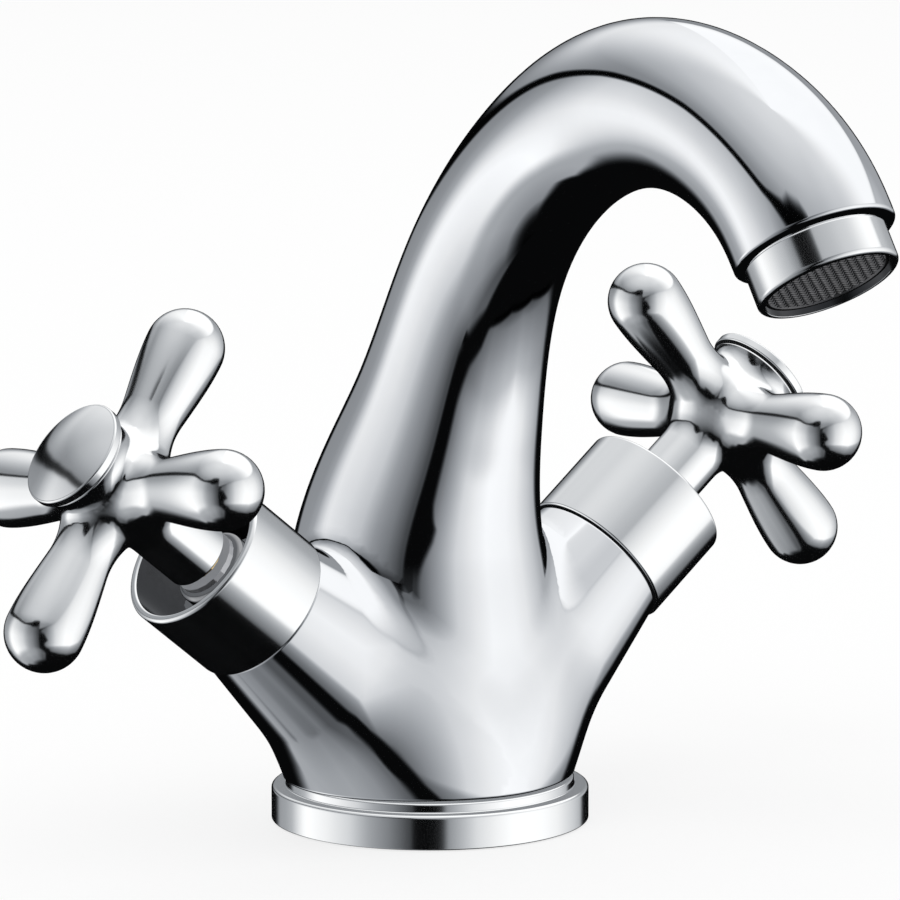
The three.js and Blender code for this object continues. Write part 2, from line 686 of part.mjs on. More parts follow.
/** Square-holed screen that lies on the lip. */
function aeratorScreen() {
  const radius = HOUSING_BORE - FIT;
  const foot = LIP_HEIGHT + FIT;
  const reach = radius - SCREEN_HOLE / 2;
  const count = Math.floor(reach / SCREEN_PITCH);
  let screen = solidOf(rod(radius, foot, foot + SCREEN_HEIGHT, MIDDLE_FACETS));
  for (let i = -count; i <= count; i += 1) {
    for (let j = -count; j <= count; j += 1) {
      const [x, y] = [i * SCREEN_PITCH, j * SCREEN_PITCH];
      if (Math.hypot(x, y) > reach - SCREEN_HOLE / 2) continue;
      const half = SCREEN_HOLE / 2;
      screen = screen.subtract(solidOf(block(
        [x - half, y - half, foot - OVERRUN], [x + half, y + half, foot + SCREEN_HEIGHT + OVERRUN])));
    }
  }
  return geometryOf(screen);
}

/** Plastic sleeve in which air and water mix. */
function aeratorSleeve() {
  const foot = LIP_HEIGHT + FIT + SCREEN_HEIGHT + FIT;
  const radius = HOUSING_BORE - FIT;
  return ring(radius - SLEEVE_WALL, radius, foot, foot + SLEEVE_HEIGHT, MIDDLE_FACETS);
}

/** Plate with a circle of jets above the sleeve. */
function aeratorJetPlate() {
  const foot = LIP_HEIGHT + SCREEN_HEIGHT + SLEEVE_HEIGHT + 3 * FIT;
  const top = foot + JET_PLATE_HEIGHT;
  let plate = solidOf(rod(HOUSING_BORE - FIT, foot, top, MIDDLE_FACETS));
  for (let i = 0; i < JET_COUNT; i += 1) {
    const angle = 2 * Math.PI * i / JET_COUNT;
    plate = plate.subtract(solidOf(rod(JET_RADIUS, foot - OVERRUN, top + OVERRUN, FINE_FACETS)
      .translate(JET_CIRCLE * Math.cos(angle), JET_CIRCLE * Math.sin(angle), 0)));
  }
  return geometryOf(plate);
}

/** Flat seal between the housing and the spout. */
function aeratorSeal() {
  const foot = housingTop + FIT;
  return ring(HOUSING_THREAD_RADIUS - AERATOR_SEAL_WIDTH, HOUSING_THREAD_RADIUS,
    foot, foot + AERATOR_SEAL_HEIGHT, MIDDLE_FACETS);
}

// Headwork, in the valve's frame

/** Rubber seal between the chamber's floor and the fixed disc. */
function seatSeal() {
  return softRing(SEAT_SEAL_BORE, DISC_RADIUS, seatSealFoot, seatSealFoot + SEAT_SEAL_HEIGHT, MIDDLE_FACETS);
}

/** A ceramic disc with its two windows, turned about the axis. */
function windowedDisc(foot, height, turn) {
  let disc = solidOf(rod(DISC_RADIUS, foot, foot + height, MIDDLE_FACETS));
  for (const side of [-1, 1]) {
    disc = disc.subtract(solidOf(rod(WINDOW_RADIUS, foot - OVERRUN, foot + height + OVERRUN, SMALL_FACETS)
      .translate(side * WINDOW_CIRCLE * Math.cos(turn), side * WINDOW_CIRCLE * Math.sin(turn), 0)));
  }
  return disc;
}

/** Fixed ceramic disc. */
function fixedDisc() {
  return geometryOf(windowedDisc(fixedDiscFoot, FIXED_DISC_HEIGHT, 0));
}

/** Moving ceramic disc, shut, with the slot that the spindle drives. */
function movingDisc() {
  const top = movingDiscFoot + MOVING_DISC_HEIGHT;
  const half = DRIVE_SLOT_WIDTH / 2;
  const slot = block([-DISC_RADIUS - OVERRUN, -half, top - DRIVE_SLOT_DEPTH],
    [DISC_RADIUS + OVERRUN, half, top + OVERRUN]);
  return geometryOf(windowedDisc(movingDiscFoot, MOVING_DISC_HEIGHT, Math.PI / 2).subtract(solidOf(slot)));
}

/** Brass headwork body: threaded sleeve, hexagon and nose, bored for the discs and the spindle. */
function bonnet() {
  const grooveTop = ARM_LENGTH - BONNET_GROOVE_DROP;
  const grooveFoot = grooveTop - BONNET_GROOVE_HEIGHT;
  const hexTop = hexFoot + HEX_HEIGHT;
  const body = solidOf(turned([
    [cavityRadius, bonnetFoot], [THREAD_RADIUS, bonnetFoot], [THREAD_RADIUS, grooveFoot],
    [BONNET_GROOVE_RADIUS, grooveFoot], [BONNET_GROOVE_RADIUS, grooveTop], [THREAD_RADIUS, grooveTop],
    [THREAD_RADIUS, hexTop - OVERRUN], [NOSE_RADIUS, hexTop - OVERRUN], [NOSE_RADIUS, noseTop - NOSE_EDGE],
    [NOSE_RADIUS - NOSE_EDGE, noseTop], [spindleBore, noseTop], [spindleBore, cavityRoof],
    [cavityRadius, cavityRoof], [cavityRadius, bonnetFoot],
  ], MIDDLE_FACETS));
  const hexagon = solidOf(prism(starOutline([HEX_RADIUS], 6), hexFoot, hexTop))
    .subtract(solidOf(rod(spindleBore + OVERRUN / 4, hexFoot - OVERRUN, hexTop + OVERRUN, MIDDLE_FACETS)));
  const across = THREAD_RADIUS + OVERRUN;
  const windows = rodBetween(new THREE.Vector3(0, -across, driveHeadFoot - FIT),
    new THREE.Vector3(0, across, driveHeadFoot - FIT), SIDE_WINDOW_RADIUS, SMALL_FACETS);
  return geometryOf(body.add(hexagon).subtract(solidOf(windows)));
}

/** Soft ring that seals the headwork in the arm. */
function bonnetRing() {
  const middle = ARM_LENGTH - BONNET_GROOVE_DROP - BONNET_GROOVE_HEIGHT / 2;
  const half = BONNET_GROOVE_HEIGHT / 2 - FIT;
  return softRing(BONNET_GROOVE_RADIUS + RING_PLAY, chamberRadius - RING_PLAY,
    middle - half, middle + half, MIDDLE_FACETS);
}

/** Washer between the spindle's drive head and the headwork body. */
function thrustWasher() {
  return ring(spindleBore, DISC_RADIUS - FIT, thrustWasherFoot, thrustWasherFoot + THRUST_WASHER_HEIGHT,
    MIDDLE_FACETS);
}

/** Heights of a spindle ring's groove. */
function spindleGroove(lift) {
  return [hexFoot + lift, hexFoot + lift + SPINDLE_RING_HEIGHT + 2 * RING_PLAY];
}

/** Spindle: drive blade, drive head, grooved stem and splined end with its screw hole. */
function spindle() {
  const outline = [[0, driveHeadFoot], [DISC_RADIUS - FIT, driveHeadFoot],
    [DISC_RADIUS - FIT, driveHeadFoot + DRIVE_HEAD_HEIGHT],
    [SPINDLE_RADIUS, driveHeadFoot + DRIVE_HEAD_HEIGHT]];
  const grooves = SPINDLE_RING_LIFTS.map((lift) => [...spindleGroove(lift), SPINDLE_GROOVE_RADIUS]);
  grooves.push([noseTop, clipFoot + CLIP_HEIGHT + FIT, CLIP_GROOVE_RADIUS]);
  for (const [low, high, radius] of grooves) {
    outline.push([SPINDLE_RADIUS, low], [radius, low], [radius, high], [SPINDLE_RADIUS, high]);
  }
  const neck = SPLINE_RADIUS - SPLINE_DEPTH;
  outline.push([SPINDLE_RADIUS, splineFoot], [0, splineFoot]);
  const half = DRIVE_SLOT_WIDTH / 2 - FIT;
  const blade = block([-DISC_RADIUS + FIT + OVERRUN / 4, -half, driveHeadFoot - FIT - DRIVE_SLOT_DEPTH + FIT],
    [DISC_RADIUS - FIT - OVERRUN / 4, half, driveHeadFoot + DRIVE_HEAD_HEIGHT / 2]);
  const teeth = prism(starOutline([SPLINE_RADIUS, neck], 2 * SPLINE_TEETH),
    splineFoot - SPLINE_FREE / 2, spindleTop);
  const hole = rod(SCREW_RADIUS + FIT, spindleTop - SCREW_LENGTH, spindleTop + OVERRUN, SMALL_FACETS);
  return geometryOf(solidOf(turned(outline, SMALL_FACETS)).add(solidOf(blade)).add(solidOf(teeth))
    .subtract(solidOf(hole)));
}

/** Soft ring on the spindle, at a lift above the hexagon's foot. */
function spindleRing(lift) {
  const [low, high] = spindleGroove(lift);
  return softRing(SPINDLE_GROOVE_RADIUS + RING_PLAY, spindleBore - RING_PLAY,
    low + RING_PLAY, high - RING_PLAY, SMALL_FACETS);
}

/** Open spring clip that holds the spindle in the headwork. */
function clip() {
  const loop = solidOf(ring(CLIP_GROOVE_RADIUS + FIT, CLIP_RADIUS, clipFoot, clipFoot + CLIP_HEIGHT,
    MIDDLE_FACETS));
  const half = CLIP_MOUTH / 2;
  const gap = block([0, -half, clipFoot - OVERRUN],
    [CLIP_RADIUS + OVERRUN, half, clipFoot + CLIP_HEIGHT + OVERRUN]);
  return geometryOf(loop.subtract(solidOf(gap)));
}

/** Open sleeve over the headwork, clamped under the hexagon. */
function shroud() {
  const bore = SHROUD_RADIUS - SHROUD_WALL;
  const flangeTop = shroudFlangeFoot + SHROUD_FLANGE;
  return turned([
    [THREAD_RADIUS + FIT, shroudFlangeFoot], [SHROUD_RADIUS, shroudFlangeFoot],
    [SHROUD_RADIUS, shroudEnd - SHROUD_EDGE], [SHROUD_RADIUS - SHROUD_EDGE, shroudEnd], [bore, shroudEnd],
    [bore, flangeTop], [THREAD_RADIUS + FIT, flangeTop], [THREAD_RADIUS + FIT, shroudFlangeFoot],
  ], LARGE_FACETS);
}

// Handle, in a frame whose origin is in the middle of its arms

/** Distance to the cross handle before its ends are faced. */
function handleField(x, y, z) {
  const [out, aside] = [Math.max(Math.abs(x), Math.abs(y)), Math.min(Math.abs(x), Math.abs(y))];
  const away = Math.hypot(aside, z);
  const way = THREE.MathUtils.clamp((out - NECK_START) / (HANDLE_REACH - NECK_START), 0, 1);
  const girth = NECK_RADIUS + (BULB_RADIUS - NECK_RADIUS) * way * way * (3 - 2 * way);
  const offset = out - NECK_START - way * (HANDLE_REACH - NECK_START);
  const arm = Math.min(Math.hypot(offset, away) - girth, Math.hypot(out - HANDLE_REACH, away) - BULB_RADIUS);
  const round = Math.hypot(x, y);
  const hub = (Math.hypot(round / HUB_RADIUS, z / HUB_HALF_HEIGHT) - 1) * HUB_HALF_HEIGHT;
  const open = THREE.MathUtils.clamp((z + BELL_START / 2) / (BELL_HEIGHT + BELL_START / 2), 0, 1);
  const flare = BELL_FOOT_RADIUS + (BELL_RIM_RADIUS - BELL_FOOT_RADIUS) * open ** FLARE_SHARE;
  const bell = Math.max(round - flare, z - BELL_HEIGHT - OVERRUN, -z - BELL_START);
  const barrel = Math.max(round - BARREL_RADIUS, z - BELL_START,
    barrelFoot - handlePlane - 2 * OVERRUN - z);
  return blended(blended(blended(arm, hub, WEB_BLEND), bell, BELL_BLEND), barrel, BARREL_BLEND);
}

/** Cross handle, faced at both ends and bored for the splines, the screw and the cap. */
function crossHandle() {
  const reach = HANDLE_REACH + BULB_RADIUS;
  const low = barrelFoot - handlePlane;
  const body = solidOf(skin(handleField,
    [-reach, -reach, low - 2 * OVERRUN], [reach, reach, BELL_HEIGHT + OVERRUN], HANDLE_CELL));
  const facing = 2 * RECESS_RADIUS;
  const [floor, roof, top] = [-RECESS_DROP, socketRoof - handlePlane, BELL_HEIGHT];
  const socketFoot = low + BARREL_LEAD;
  const neck = SPLINE_RADIUS - SPLINE_DEPTH;
  const cuts = [
    rod(facing, top, top + 3 * OVERRUN, MIDDLE_FACETS),
    rod(facing, low - 4 * OVERRUN, low, MIDDLE_FACETS),
    rod(RECESS_RADIUS, floor, top + OVERRUN, MIDDLE_FACETS),
    rod(SCREW_RADIUS + FIT, roof - OVERRUN, floor + OVERRUN, SMALL_FACETS),
    rod(BARREL_LEAD_RADIUS, low - OVERRUN, socketFoot, SMALL_FACETS),
    prism(starOutline([SPLINE_RADIUS + FIT, neck + FIT], 2 * SPLINE_TEETH), socketFoot - OVERRUN, roof),
  ];
  return geometryOf(cuts.reduce((solid, cut) => solid.subtract(solidOf(cut)), body));
}

/** Slotted screw that holds the handle on the spindle. */
function handleScrew() {
  const foot = recessFloor - handlePlane + FIT;
  const top = foot + SCREW_HEAD_HEIGHT;
  const tip = spindleTop - handlePlane - SCREW_LENGTH + FIT;
  const body = solidOf(turned([[0, tip], [SCREW_RADIUS, tip], [SCREW_RADIUS, foot],
    [SCREW_HEAD_RADIUS, foot], [SCREW_HEAD_RADIUS, top], [0, top]], SMALL_FACETS));
  const half = SCREW_SLOT / 2;
  const slot = block([-SCREW_HEAD_RADIUS - OVERRUN, -half, top - SCREW_SLOT_DEPTH],
    [SCREW_HEAD_RADIUS + OVERRUN, half, top + OVERRUN]);
  return geometryOf(body.subtract(solidOf(slot)));
}

/** Heights of the groove in the cap's plug. */
function plugGroove() {
  const middle = capFoot - handlePlane - PLUG_LENGTH / 2;
  return [middle - CAP_RING_HEIGHT / 2 - RING_PLAY, middle + CAP_RING_HEIGHT / 2 + RING_PLAY];
}

/** Plain cap with a low dome and a grooved plug. */
function indexCap() {
  const foot = capFoot - handlePlane;
  const rim = foot + CAP_RIM_HEIGHT;
  const [grooveFoot, grooveTop] = plugGroove();
  const dome = DOME_SHARES.map((share) => [CAP_RADIUS * share, rim + CAP_DOME * (1 - share * share)]);
  return turned([
    [0, foot - PLUG_LENGTH], [PLUG_RADIUS, foot - PLUG_LENGTH], [PLUG_RADIUS, grooveFoot],
    [PLUG_GROOVE_RADIUS, grooveFoot], [PLUG_GROOVE_RADIUS, grooveTop], [PLUG_RADIUS, grooveTop],
    [PLUG_RADIUS, foot], [CAP_RADIUS, foot], [CAP_RADIUS, rim - CAP_EDGE], [CAP_RADIUS - CAP_EDGE, rim],
    ...dome, [0, rim + CAP_DOME],
  ], MIDDLE_FACETS);
}

/** Soft ring that grips the cap in the bell. */
function capRing() {
  const [grooveFoot, grooveTop] = plugGroove();
  return softRing(PLUG_GROOVE_RADIUS + RING_PLAY, RECESS_RADIUS - RING_PLAY,
    grooveFoot + RING_PLAY, grooveTop - RING_PLAY, MIDDLE_FACETS);
}

// Assembly

/** A named piece in its finish. */
function piece(name, geometry, finish) {
  const mesh = new THREE.Mesh(geometry, FINISHES[finish]);
  mesh.name = name;
  return mesh;
}

/** What turns with a handle: the moving disc, the spindle with its rings and clip, and the head. */
function turningPieces(name, turn) {
  const group = new THREE.Group();
  group.rotation.z = turn;
  group.add(
    piece(`${name}_moving_disc`, movingDisc(), 'ceramic'),
    piece(`${name}_spindle`, spindle(), 'brass'),
    piece(`${name}_spindle_ring_lower`, spindleRing(SPINDLE_RING_LIFTS[0]), 'rubber'),
    piece(`${name}_spindle_ring_upper`, spindleRing(SPINDLE_RING_LIFTS[1]), 'rubber'),
    piece(`${name}_clip`, clip(), 'steel'),
  );
  const head = new THREE.Group();
  head.position.set(0, 0, handlePlane);
  head.add(
    piece(`${name}_handle`, crossHandle(), 'chrome'),
    piece(`${name}_handle_screw`, handleScrew(), 'steel'),
    piece(`${name}_cap`, indexCap(), 'chrome'),
    piece(`${name}_cap_ring`, capRing(), 'rubber'),
  );
  group.add(head);
  return group;
}

/** One valve with its handle. */
function valve(name, side, turn) {
  const group = new THREE.Group();
  group.applyMatrix4(valveFrame(side));
  group.add(
    piece(`${name}_seat_seal`, seatSeal(), 'rubber'),
    piece(`${name}_fixed_disc`, fixedDisc(), 'ceramic'),
    piece(`${name}_bonnet`, bonnet(), 'brass'),
    piece(`${name}_bonnet_ring`, bonnetRing(), 'rubber'),
    piece(`${name}_thrust_washer`, thrustWasher(), 'plastic'),
    piece(`${name}_shroud`, shroud(), 'chrome'),
    turningPieces(name, turn),
  );
  return group;
}

/** The aerator in the spout's mouth. */
function aerator() {
  const group = new THREE.Group();
  group.applyMatrix4(outletFrame());
  group.add(
    piece('aerator_housing', aeratorHousing(), 'chrome'),
    piece('aerator_screen', aeratorScreen(), 'plastic'),
    piece('aerator_sleeve', aeratorSleeve(), 'plastic'),
    piece('aerator_jet_plate', aeratorJetPlate(), 'plastic'),
    piece('aerator_seal', aeratorSeal(), 'rubber'),
  );
  return group;
}

const mixer = new THREE.Group();
mixer.name = 'basin_mixer';
mixer.add(
  piece('body_casting', geometryOf(castingSolid()), 'chrome'),
  piece('base_ring', baseRing(), 'chrome'),
  piece('base_seal', baseSeal(), 'rubber'),
  aerator(),
  valve('hot', -1, HOT_TURN),
  valve('cold', 1, COLD_TURN),
);

export default mixer;
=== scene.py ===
"""Looks of a chrome single-hole basin mixer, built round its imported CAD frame.

The casting and the cross handles are smooth skins of the forms that the CAD solids have, meshed
finely and shaded with the exact slope of the form. The rings, sleeves, caps and aerator are
turned pieces with rolled edges. Pieces inside keep their CAD nodes and get their finishes.

Sizes are in millimetres, in the frame of the CAD model: +Z up, spout towards -Y, origin on the
deck. Meshes are made in metres.
"""

import json  # noqa: E402
import logging  # noqa: E402
import math  # noqa: E402
from dataclasses import dataclass, field  # noqa: E402
from enum import Enum  # noqa: E402
from typing import Callable  # noqa: E402

import bmesh  # noqa: E402
import bpy  # noqa: E402
import numpy as np  # noqa: E402
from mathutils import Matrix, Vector  # noqa: E402

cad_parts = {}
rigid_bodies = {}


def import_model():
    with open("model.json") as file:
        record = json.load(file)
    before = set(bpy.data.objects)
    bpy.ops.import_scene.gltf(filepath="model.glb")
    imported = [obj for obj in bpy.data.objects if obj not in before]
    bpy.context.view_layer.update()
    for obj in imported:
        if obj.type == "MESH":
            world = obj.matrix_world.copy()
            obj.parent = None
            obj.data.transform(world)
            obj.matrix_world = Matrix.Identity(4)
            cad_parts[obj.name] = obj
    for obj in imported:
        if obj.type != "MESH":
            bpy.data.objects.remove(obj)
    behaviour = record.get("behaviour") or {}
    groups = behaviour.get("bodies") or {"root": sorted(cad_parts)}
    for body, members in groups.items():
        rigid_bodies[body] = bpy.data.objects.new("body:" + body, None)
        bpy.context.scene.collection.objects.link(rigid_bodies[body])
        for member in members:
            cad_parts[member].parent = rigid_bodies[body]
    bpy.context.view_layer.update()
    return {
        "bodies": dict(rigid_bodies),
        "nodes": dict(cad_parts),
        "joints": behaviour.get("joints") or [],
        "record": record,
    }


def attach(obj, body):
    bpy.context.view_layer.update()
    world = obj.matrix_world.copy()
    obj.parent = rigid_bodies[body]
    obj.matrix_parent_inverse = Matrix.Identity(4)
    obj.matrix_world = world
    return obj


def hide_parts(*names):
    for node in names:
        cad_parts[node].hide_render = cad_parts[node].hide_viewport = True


LOG = logging.getLogger("basin_mixer")

MM = 0.001
FIT = 0.3  # gap between pieces that rest on or in each other
SKIN_INSET = 0.12  # how far a smooth skin lies inside its form, so that it keeps to the CAD box
BREAK = 0.1  # roll of an edge that hardly shows
HANDLE_LIFT = 38.0  # an arm's end face to the middle of its handle's cross

Field = Callable[[np.ndarray], np.ndarray]
Pair = tuple[float, float]
Colour = tuple[float, float, float]


class Side(Enum):
    """The two valves, with the sign of the side that each stands on."""

    HOT = -1
    COLD = 1

    @property
    def label(self) -> str:
        """Start of the names of this valve's nodes."""
        return self.name.lower()

    @property
    def body(self) -> str:
        """CAD body that turns with this valve's handle."""
        return f"{self.label}_handle_body"

    @property
    def rest_turn(self) -> float:
        """How the handle stands at rest, turned about the valve's axis, in radians."""
        return math.radians({"hot": 8.6, "cold": -1.4}[self.label])


class FixedBody(Enum):
    """The CAD body that stands still."""

    MIXER = "mixer_body"


# Frames


def rotation(axis: int, angle: float) -> np.ndarray:
    """Turn about one of the axes.

    Args:
        axis: 0, 1 or 2 for X, Y or Z.
        angle: Turn in radians.

    Returns:
        A 4 x 4 matrix.
    """
    matrix = np.eye(4)
    first, second = [(1, 2), (2, 0), (0, 1)][axis]
    matrix[first, first] = matrix[second, second] = math.cos(angle)
    matrix[first, second] = -math.sin(angle)
    matrix[second, first] = math.sin(angle)
    return matrix


def translation(x: float, y: float, z: float) -> np.ndarray:
    """Shift as a 4 x 4 matrix."""
    matrix = np.eye(4)
    matrix[:3, 3] = (x, y, z)
    return matrix


def placed(points: np.ndarray, matrix: np.ndarray) -> np.ndarray:
    """Points carried by a 4 x 4 matrix."""
    return points @ matrix[:3, :3].T + matrix[:3, 3]


def to_local(points: np.ndarray, matrix: np.ndarray) -> np.ndarray:
    """Points as the frame of a matrix sees them."""
    return (points - matrix[:3, 3]) @ matrix[:3, :3]


# Profiles of turned pieces


@dataclass(frozen=True)
class Bend:
    """One ring of a turned profile.

    Attributes:
        radius: Distance from the axis.
        height: Place along the axis.
        before: Outward direction of the faces that end here, as (radial, axial).
        after: Outward direction of the faces that start here.
        follows_edge: Whether the radius follows the edge that a rim starts on.
    """

    radius: float
    height: float
    before: Pair
    after: Pair
    follows_edge: bool = False


def outward(start: Pair, end: Pair) -> Pair:
    """Outward direction of a stretch whose solid lies on its left."""
    length = math.hypot(end[0] - start[0], end[1] - start[1])
    return ((end[1] - start[1]) / length, (start[0] - end[0]) / length)


def profile(corners: list[tuple[float, float, float]], closed: bool = True, steps: int = 6) -> list[Bend]:
    """Profile through corners, each with the radius that it is rolled to.

    Args:
        corners: Radius, height and roll of each corner, with the solid on the left of the path.
        closed: Whether the path returns to its first corner.
        steps: Rings in a rolled corner.

    Returns:
        The rings of the profile in order.
    """
    count = len(corners)
    bends: list[Bend] = []
    for index, (radius, height, roll) in enumerate(corners):
        here = (radius, height)
        last = corners[index - 1][:2] if closed or index > 0 else None
        following = corners[(index + 1) % count][:2] if closed or index < count - 1 else None
        before = outward(last, here) if last else outward(here, following)
        after = outward(here, following) if following else before
        turn = math.atan2(before[0] * after[1] - before[1] * after[0],
                          before[0] * after[0] + before[1] * after[1])
        if roll == 0 or abs(turn) < 1e-6:
            bends.append(Bend(radius, height, before, after))
            continue
        back = roll * math.tan(abs(turn) / 2)
        side = math.copysign(1, turn)
        foot = (radius + before[1] * back, height - before[0] * back)
        centre = (foot[0] - side * before[0] * roll, foot[1] - side * before[1] * roll)
        for step in range(steps + 1):
            angle = turn * step / steps
            look = (before[0] * math.cos(angle) - before[1] * math.sin(angle),
                    before[0] * math.sin(angle) + before[1] * math.cos(angle))
            place = (centre[0] + side * look[0] * roll, centre[1] + side * look[1] * roll)
            bends.append(Bend(*place, look, look))
    if closed:
        bends.append(bends[0])
    return bends


def domed(radius: float, rim: float, rise: float, rings: int = 14) -> list[Bend]:
    """Rings of a low dome, from its rim to its middle."""
    bends = []
    for ring in range(rings + 1):
        share = 1 - ring / rings
        slope = 2 * rise * share / radius
        look = (slope / math.hypot(slope, 1), 1 / math.hypot(slope, 1))
        bends.append(Bend(radius * share, rim + rise * (1 - share * share), look, look))
    return bends


# Surfaces


class Surface:
    """A mesh in the making, with the outward direction of the form at every face corner."""

    def __init__(self) -> None:
        """Starts with nothing."""
        self.points: list[np.ndarray] = []
        self.faces: list[list[int]] = []
        self.normals: list[np.ndarray] = []
        self.total = 0

    def add_points(self, points: np.ndarray) -> np.ndarray:
        """Adds points and returns their numbers."""
        numbers = np.arange(self.total, self.total + len(points))
        self.points.append(np.asarray(points, float))
        self.total += len(points)
        return numbers

    def add_faces(self, faces: list[list[int]], normals: list[np.ndarray]) -> None:
        """Adds faces with a direction for each of their corners."""
        self.faces.extend(faces)
        self.normals.extend(normals)

    def add_strip(self, first: np.ndarray, second: np.ndarray, first_looks: np.ndarray,
                  second_looks: np.ndarray) -> None:
        """Adds the faces between two closed rings that run the same way.

        Args:
            first: Point numbers of the first ring, or one number for its pole.
            second: Point numbers of the second ring, or one number for its pole.
            first_looks: Outward directions along the first ring.
            second_looks: Outward directions along the second ring.
        """
        count = max(len(first), len(second))
        for i in range(count):
            j = (i + 1) % count
            if len(first) == 1:
                self.faces.append([first[0], second[j], second[i]])
                self.normals.append(np.array([first_looks[i], second_looks[j], second_looks[i]]))
            elif len(second) == 1:
                self.faces.append([first[i], first[j], second[0]])
                self.normals.append(np.array([first_looks[i], first_looks[j], second_looks[i]]))
            else:
                self.faces.append([first[i], first[j], second[j], second[i]])
                corners = [first_looks[i], first_looks[j], second_looks[j], second_looks[i]]
                self.normals.append(np.array(corners))

    def add_turned(self, bends: list[Bend], facets: int, matrix: np.ndarray) -> None:
        """Adds a piece turned about the Z axis of a frame.

        Args:
            bends: Rings of its profile. A closed profile ends with its first ring.
            facets: Faces round the axis.
            matrix: Frame of the piece.
        """
        angles = np.arange(facets) * 2 * math.pi / facets
        across = np.stack([np.cos(angles), np.sin(angles)], -1)
        rings: list[np.ndarray] = []
        closed = bends[0] is bends[-1]
        for number, bend in enumerate(bends):
            if closed and number == len(bends) - 1:
                rings.append(rings[0])
                continue
            if bend.radius < 1e-9:
                ring = np.array([[0.0, 0.0, bend.height]])
            else:
                ring = np.column_stack([across * bend.radius, np.full(facets, bend.height)])
            rings.append(self.add_points(placed(ring, matrix)))
        for number in range(len(bends) - 1):
            first, second = bends[number], bends[number + 1]
            gap = math.hypot(first.radius - second.radius, first.height - second.height)
            if gap < 1e-9:
                continue
            looks = [np.column_stack([across * look[0], np.full(facets, look[1])]) @ matrix[:3, :3].T
                     for look in (first.after, second.before)]
            self.add_strip(rings[number], rings[number + 1], looks[0], looks[1])

    def add_rim(self, ring: np.ndarray, looks: np.ndarray, bends: list[Bend],
                matrix: np.ndarray) -> np.ndarray:
        """Adds a turned profile that starts on an open edge of the surface.

        Args:
            ring: Point numbers of the edge, running round the frame's Z axis.
            looks: Outward directions of the surface along the edge.
            bends: Rings of the profile. The first stands for the edge itself.
            matrix: Frame whose Z axis leaves the open end.

        Returns:
            Point numbers of the last ring.
        """
        local = to_local(np.concatenate(self.points)[ring], matrix)
        reach = np.hypot(local[:, 0], local[:, 1])
        across = local[:, :2] / reach[:, None]
        edge = bends[0].radius
        last, last_looks = ring, looks
        for bend in bends[1:]:
            radii = reach + bend.radius - edge if bend.follows_edge else np.full(len(ring), bend.radius)
            looks_in = np.column_stack([across * bend.before[0], np.full(len(ring), bend.before[1])])
            looks_out = np.column_stack([across * bend.after[0], np.full(len(ring), bend.after[1])])
            if bend.radius < 1e-9:
                fresh = self.add_points(placed(np.array([[0.0, 0.0, bend.height]]), matrix))
            else:
                points = np.column_stack([across * radii[:, None], np.full(len(ring), bend.height)])
                fresh = self.add_points(placed(points, matrix))
            self.add_strip(last, fresh, last_looks, looks_in @ matrix[:3, :3].T)
            last, last_looks = fresh, looks_out @ matrix[:3, :3].T
        return last

    def add_prism(self, outline: np.ndarray, low: float, high: float, matrix: np.ndarray) -> None:
        """Adds a prism with flat sides and ends.

        Args:
            outline: Corners as (x, y), running round the Z axis.
            low: Height of its foot.
            high: Height of its top.
            matrix: Frame of the prism.
        """
        count = len(outline)
        foot = self.add_points(placed(np.column_stack([outline, np.full(count, low)]), matrix))
        top = self.add_points(placed(np.column_stack([outline, np.full(count, high)]), matrix))
        for i in range(count):
            j = (i + 1) % count
            run = outline[j] - outline[i]
            look = np.array([run[1], -run[0], 0.0]) / np.hypot(*run) @ matrix[:3, :3].T
            self.add_faces([[foot[i], foot[j], top[j], top[i]]], [np.tile(look, (4, 1))])
        up = matrix[:3, 2]
        self.add_faces([list(top), list(foot[::-1])], [np.tile(up, (count, 1)), np.tile(-up, (count, 1))])

    def to_object(self, name: str, material: bpy.types.Material) -> bpy.types.Object:
        """Makes the Blender object.

        Args:
            name: Name of the piece.
            material: Its finish.

        Returns:
            The object, in the scene, in metres.
        """
        mesh = bpy.data.meshes.new(name)
        faces = [list(map(int, face)) for face in self.faces]
        mesh.from_pydata((np.concatenate(self.points) * MM).tolist(), [], faces)
        mesh.polygons.foreach_set("use_smooth", np.ones(len(mesh.polygons), bool))
        mesh.normals_split_custom_set(np.concatenate(self.normals).tolist())
        mesh.materials.append(material)
        piece = bpy.data.objects.new(name, mesh)
        bpy.context.scene.collection.objects.link(piece)
        return piece


# Smooth forms


def blended(first: np.ndarray, second: np.ndarray, blend: float) -> np.ndarray:
    """The lesser of two distances, run together over a blend length."""
    mix = np.clip((second - first) / (2 * blend) + 0.5, 0, 1)
    return second + (first - second) * mix - blend * mix * (1 - mix)


def smooth_step(value: np.ndarray, start: float, end: float) -> np.ndarray:
    """Runs softly from 0 at the start to 1 at the end."""
    way = np.clip((value - start) / (end - start), 0, 1)
    return way * way * (3 - 2 * way)


def between(first: np.ndarray, second: np.ndarray, share: np.ndarray) -> np.ndarray:
    """Values on the way from the first to the second."""
    return first + (second - first) * share


def length_of(*parts: np.ndarray) -> np.ndarray:
    """Length of vectors from their parts."""
    return np.sqrt(sum(part ** 2 for part in parts))


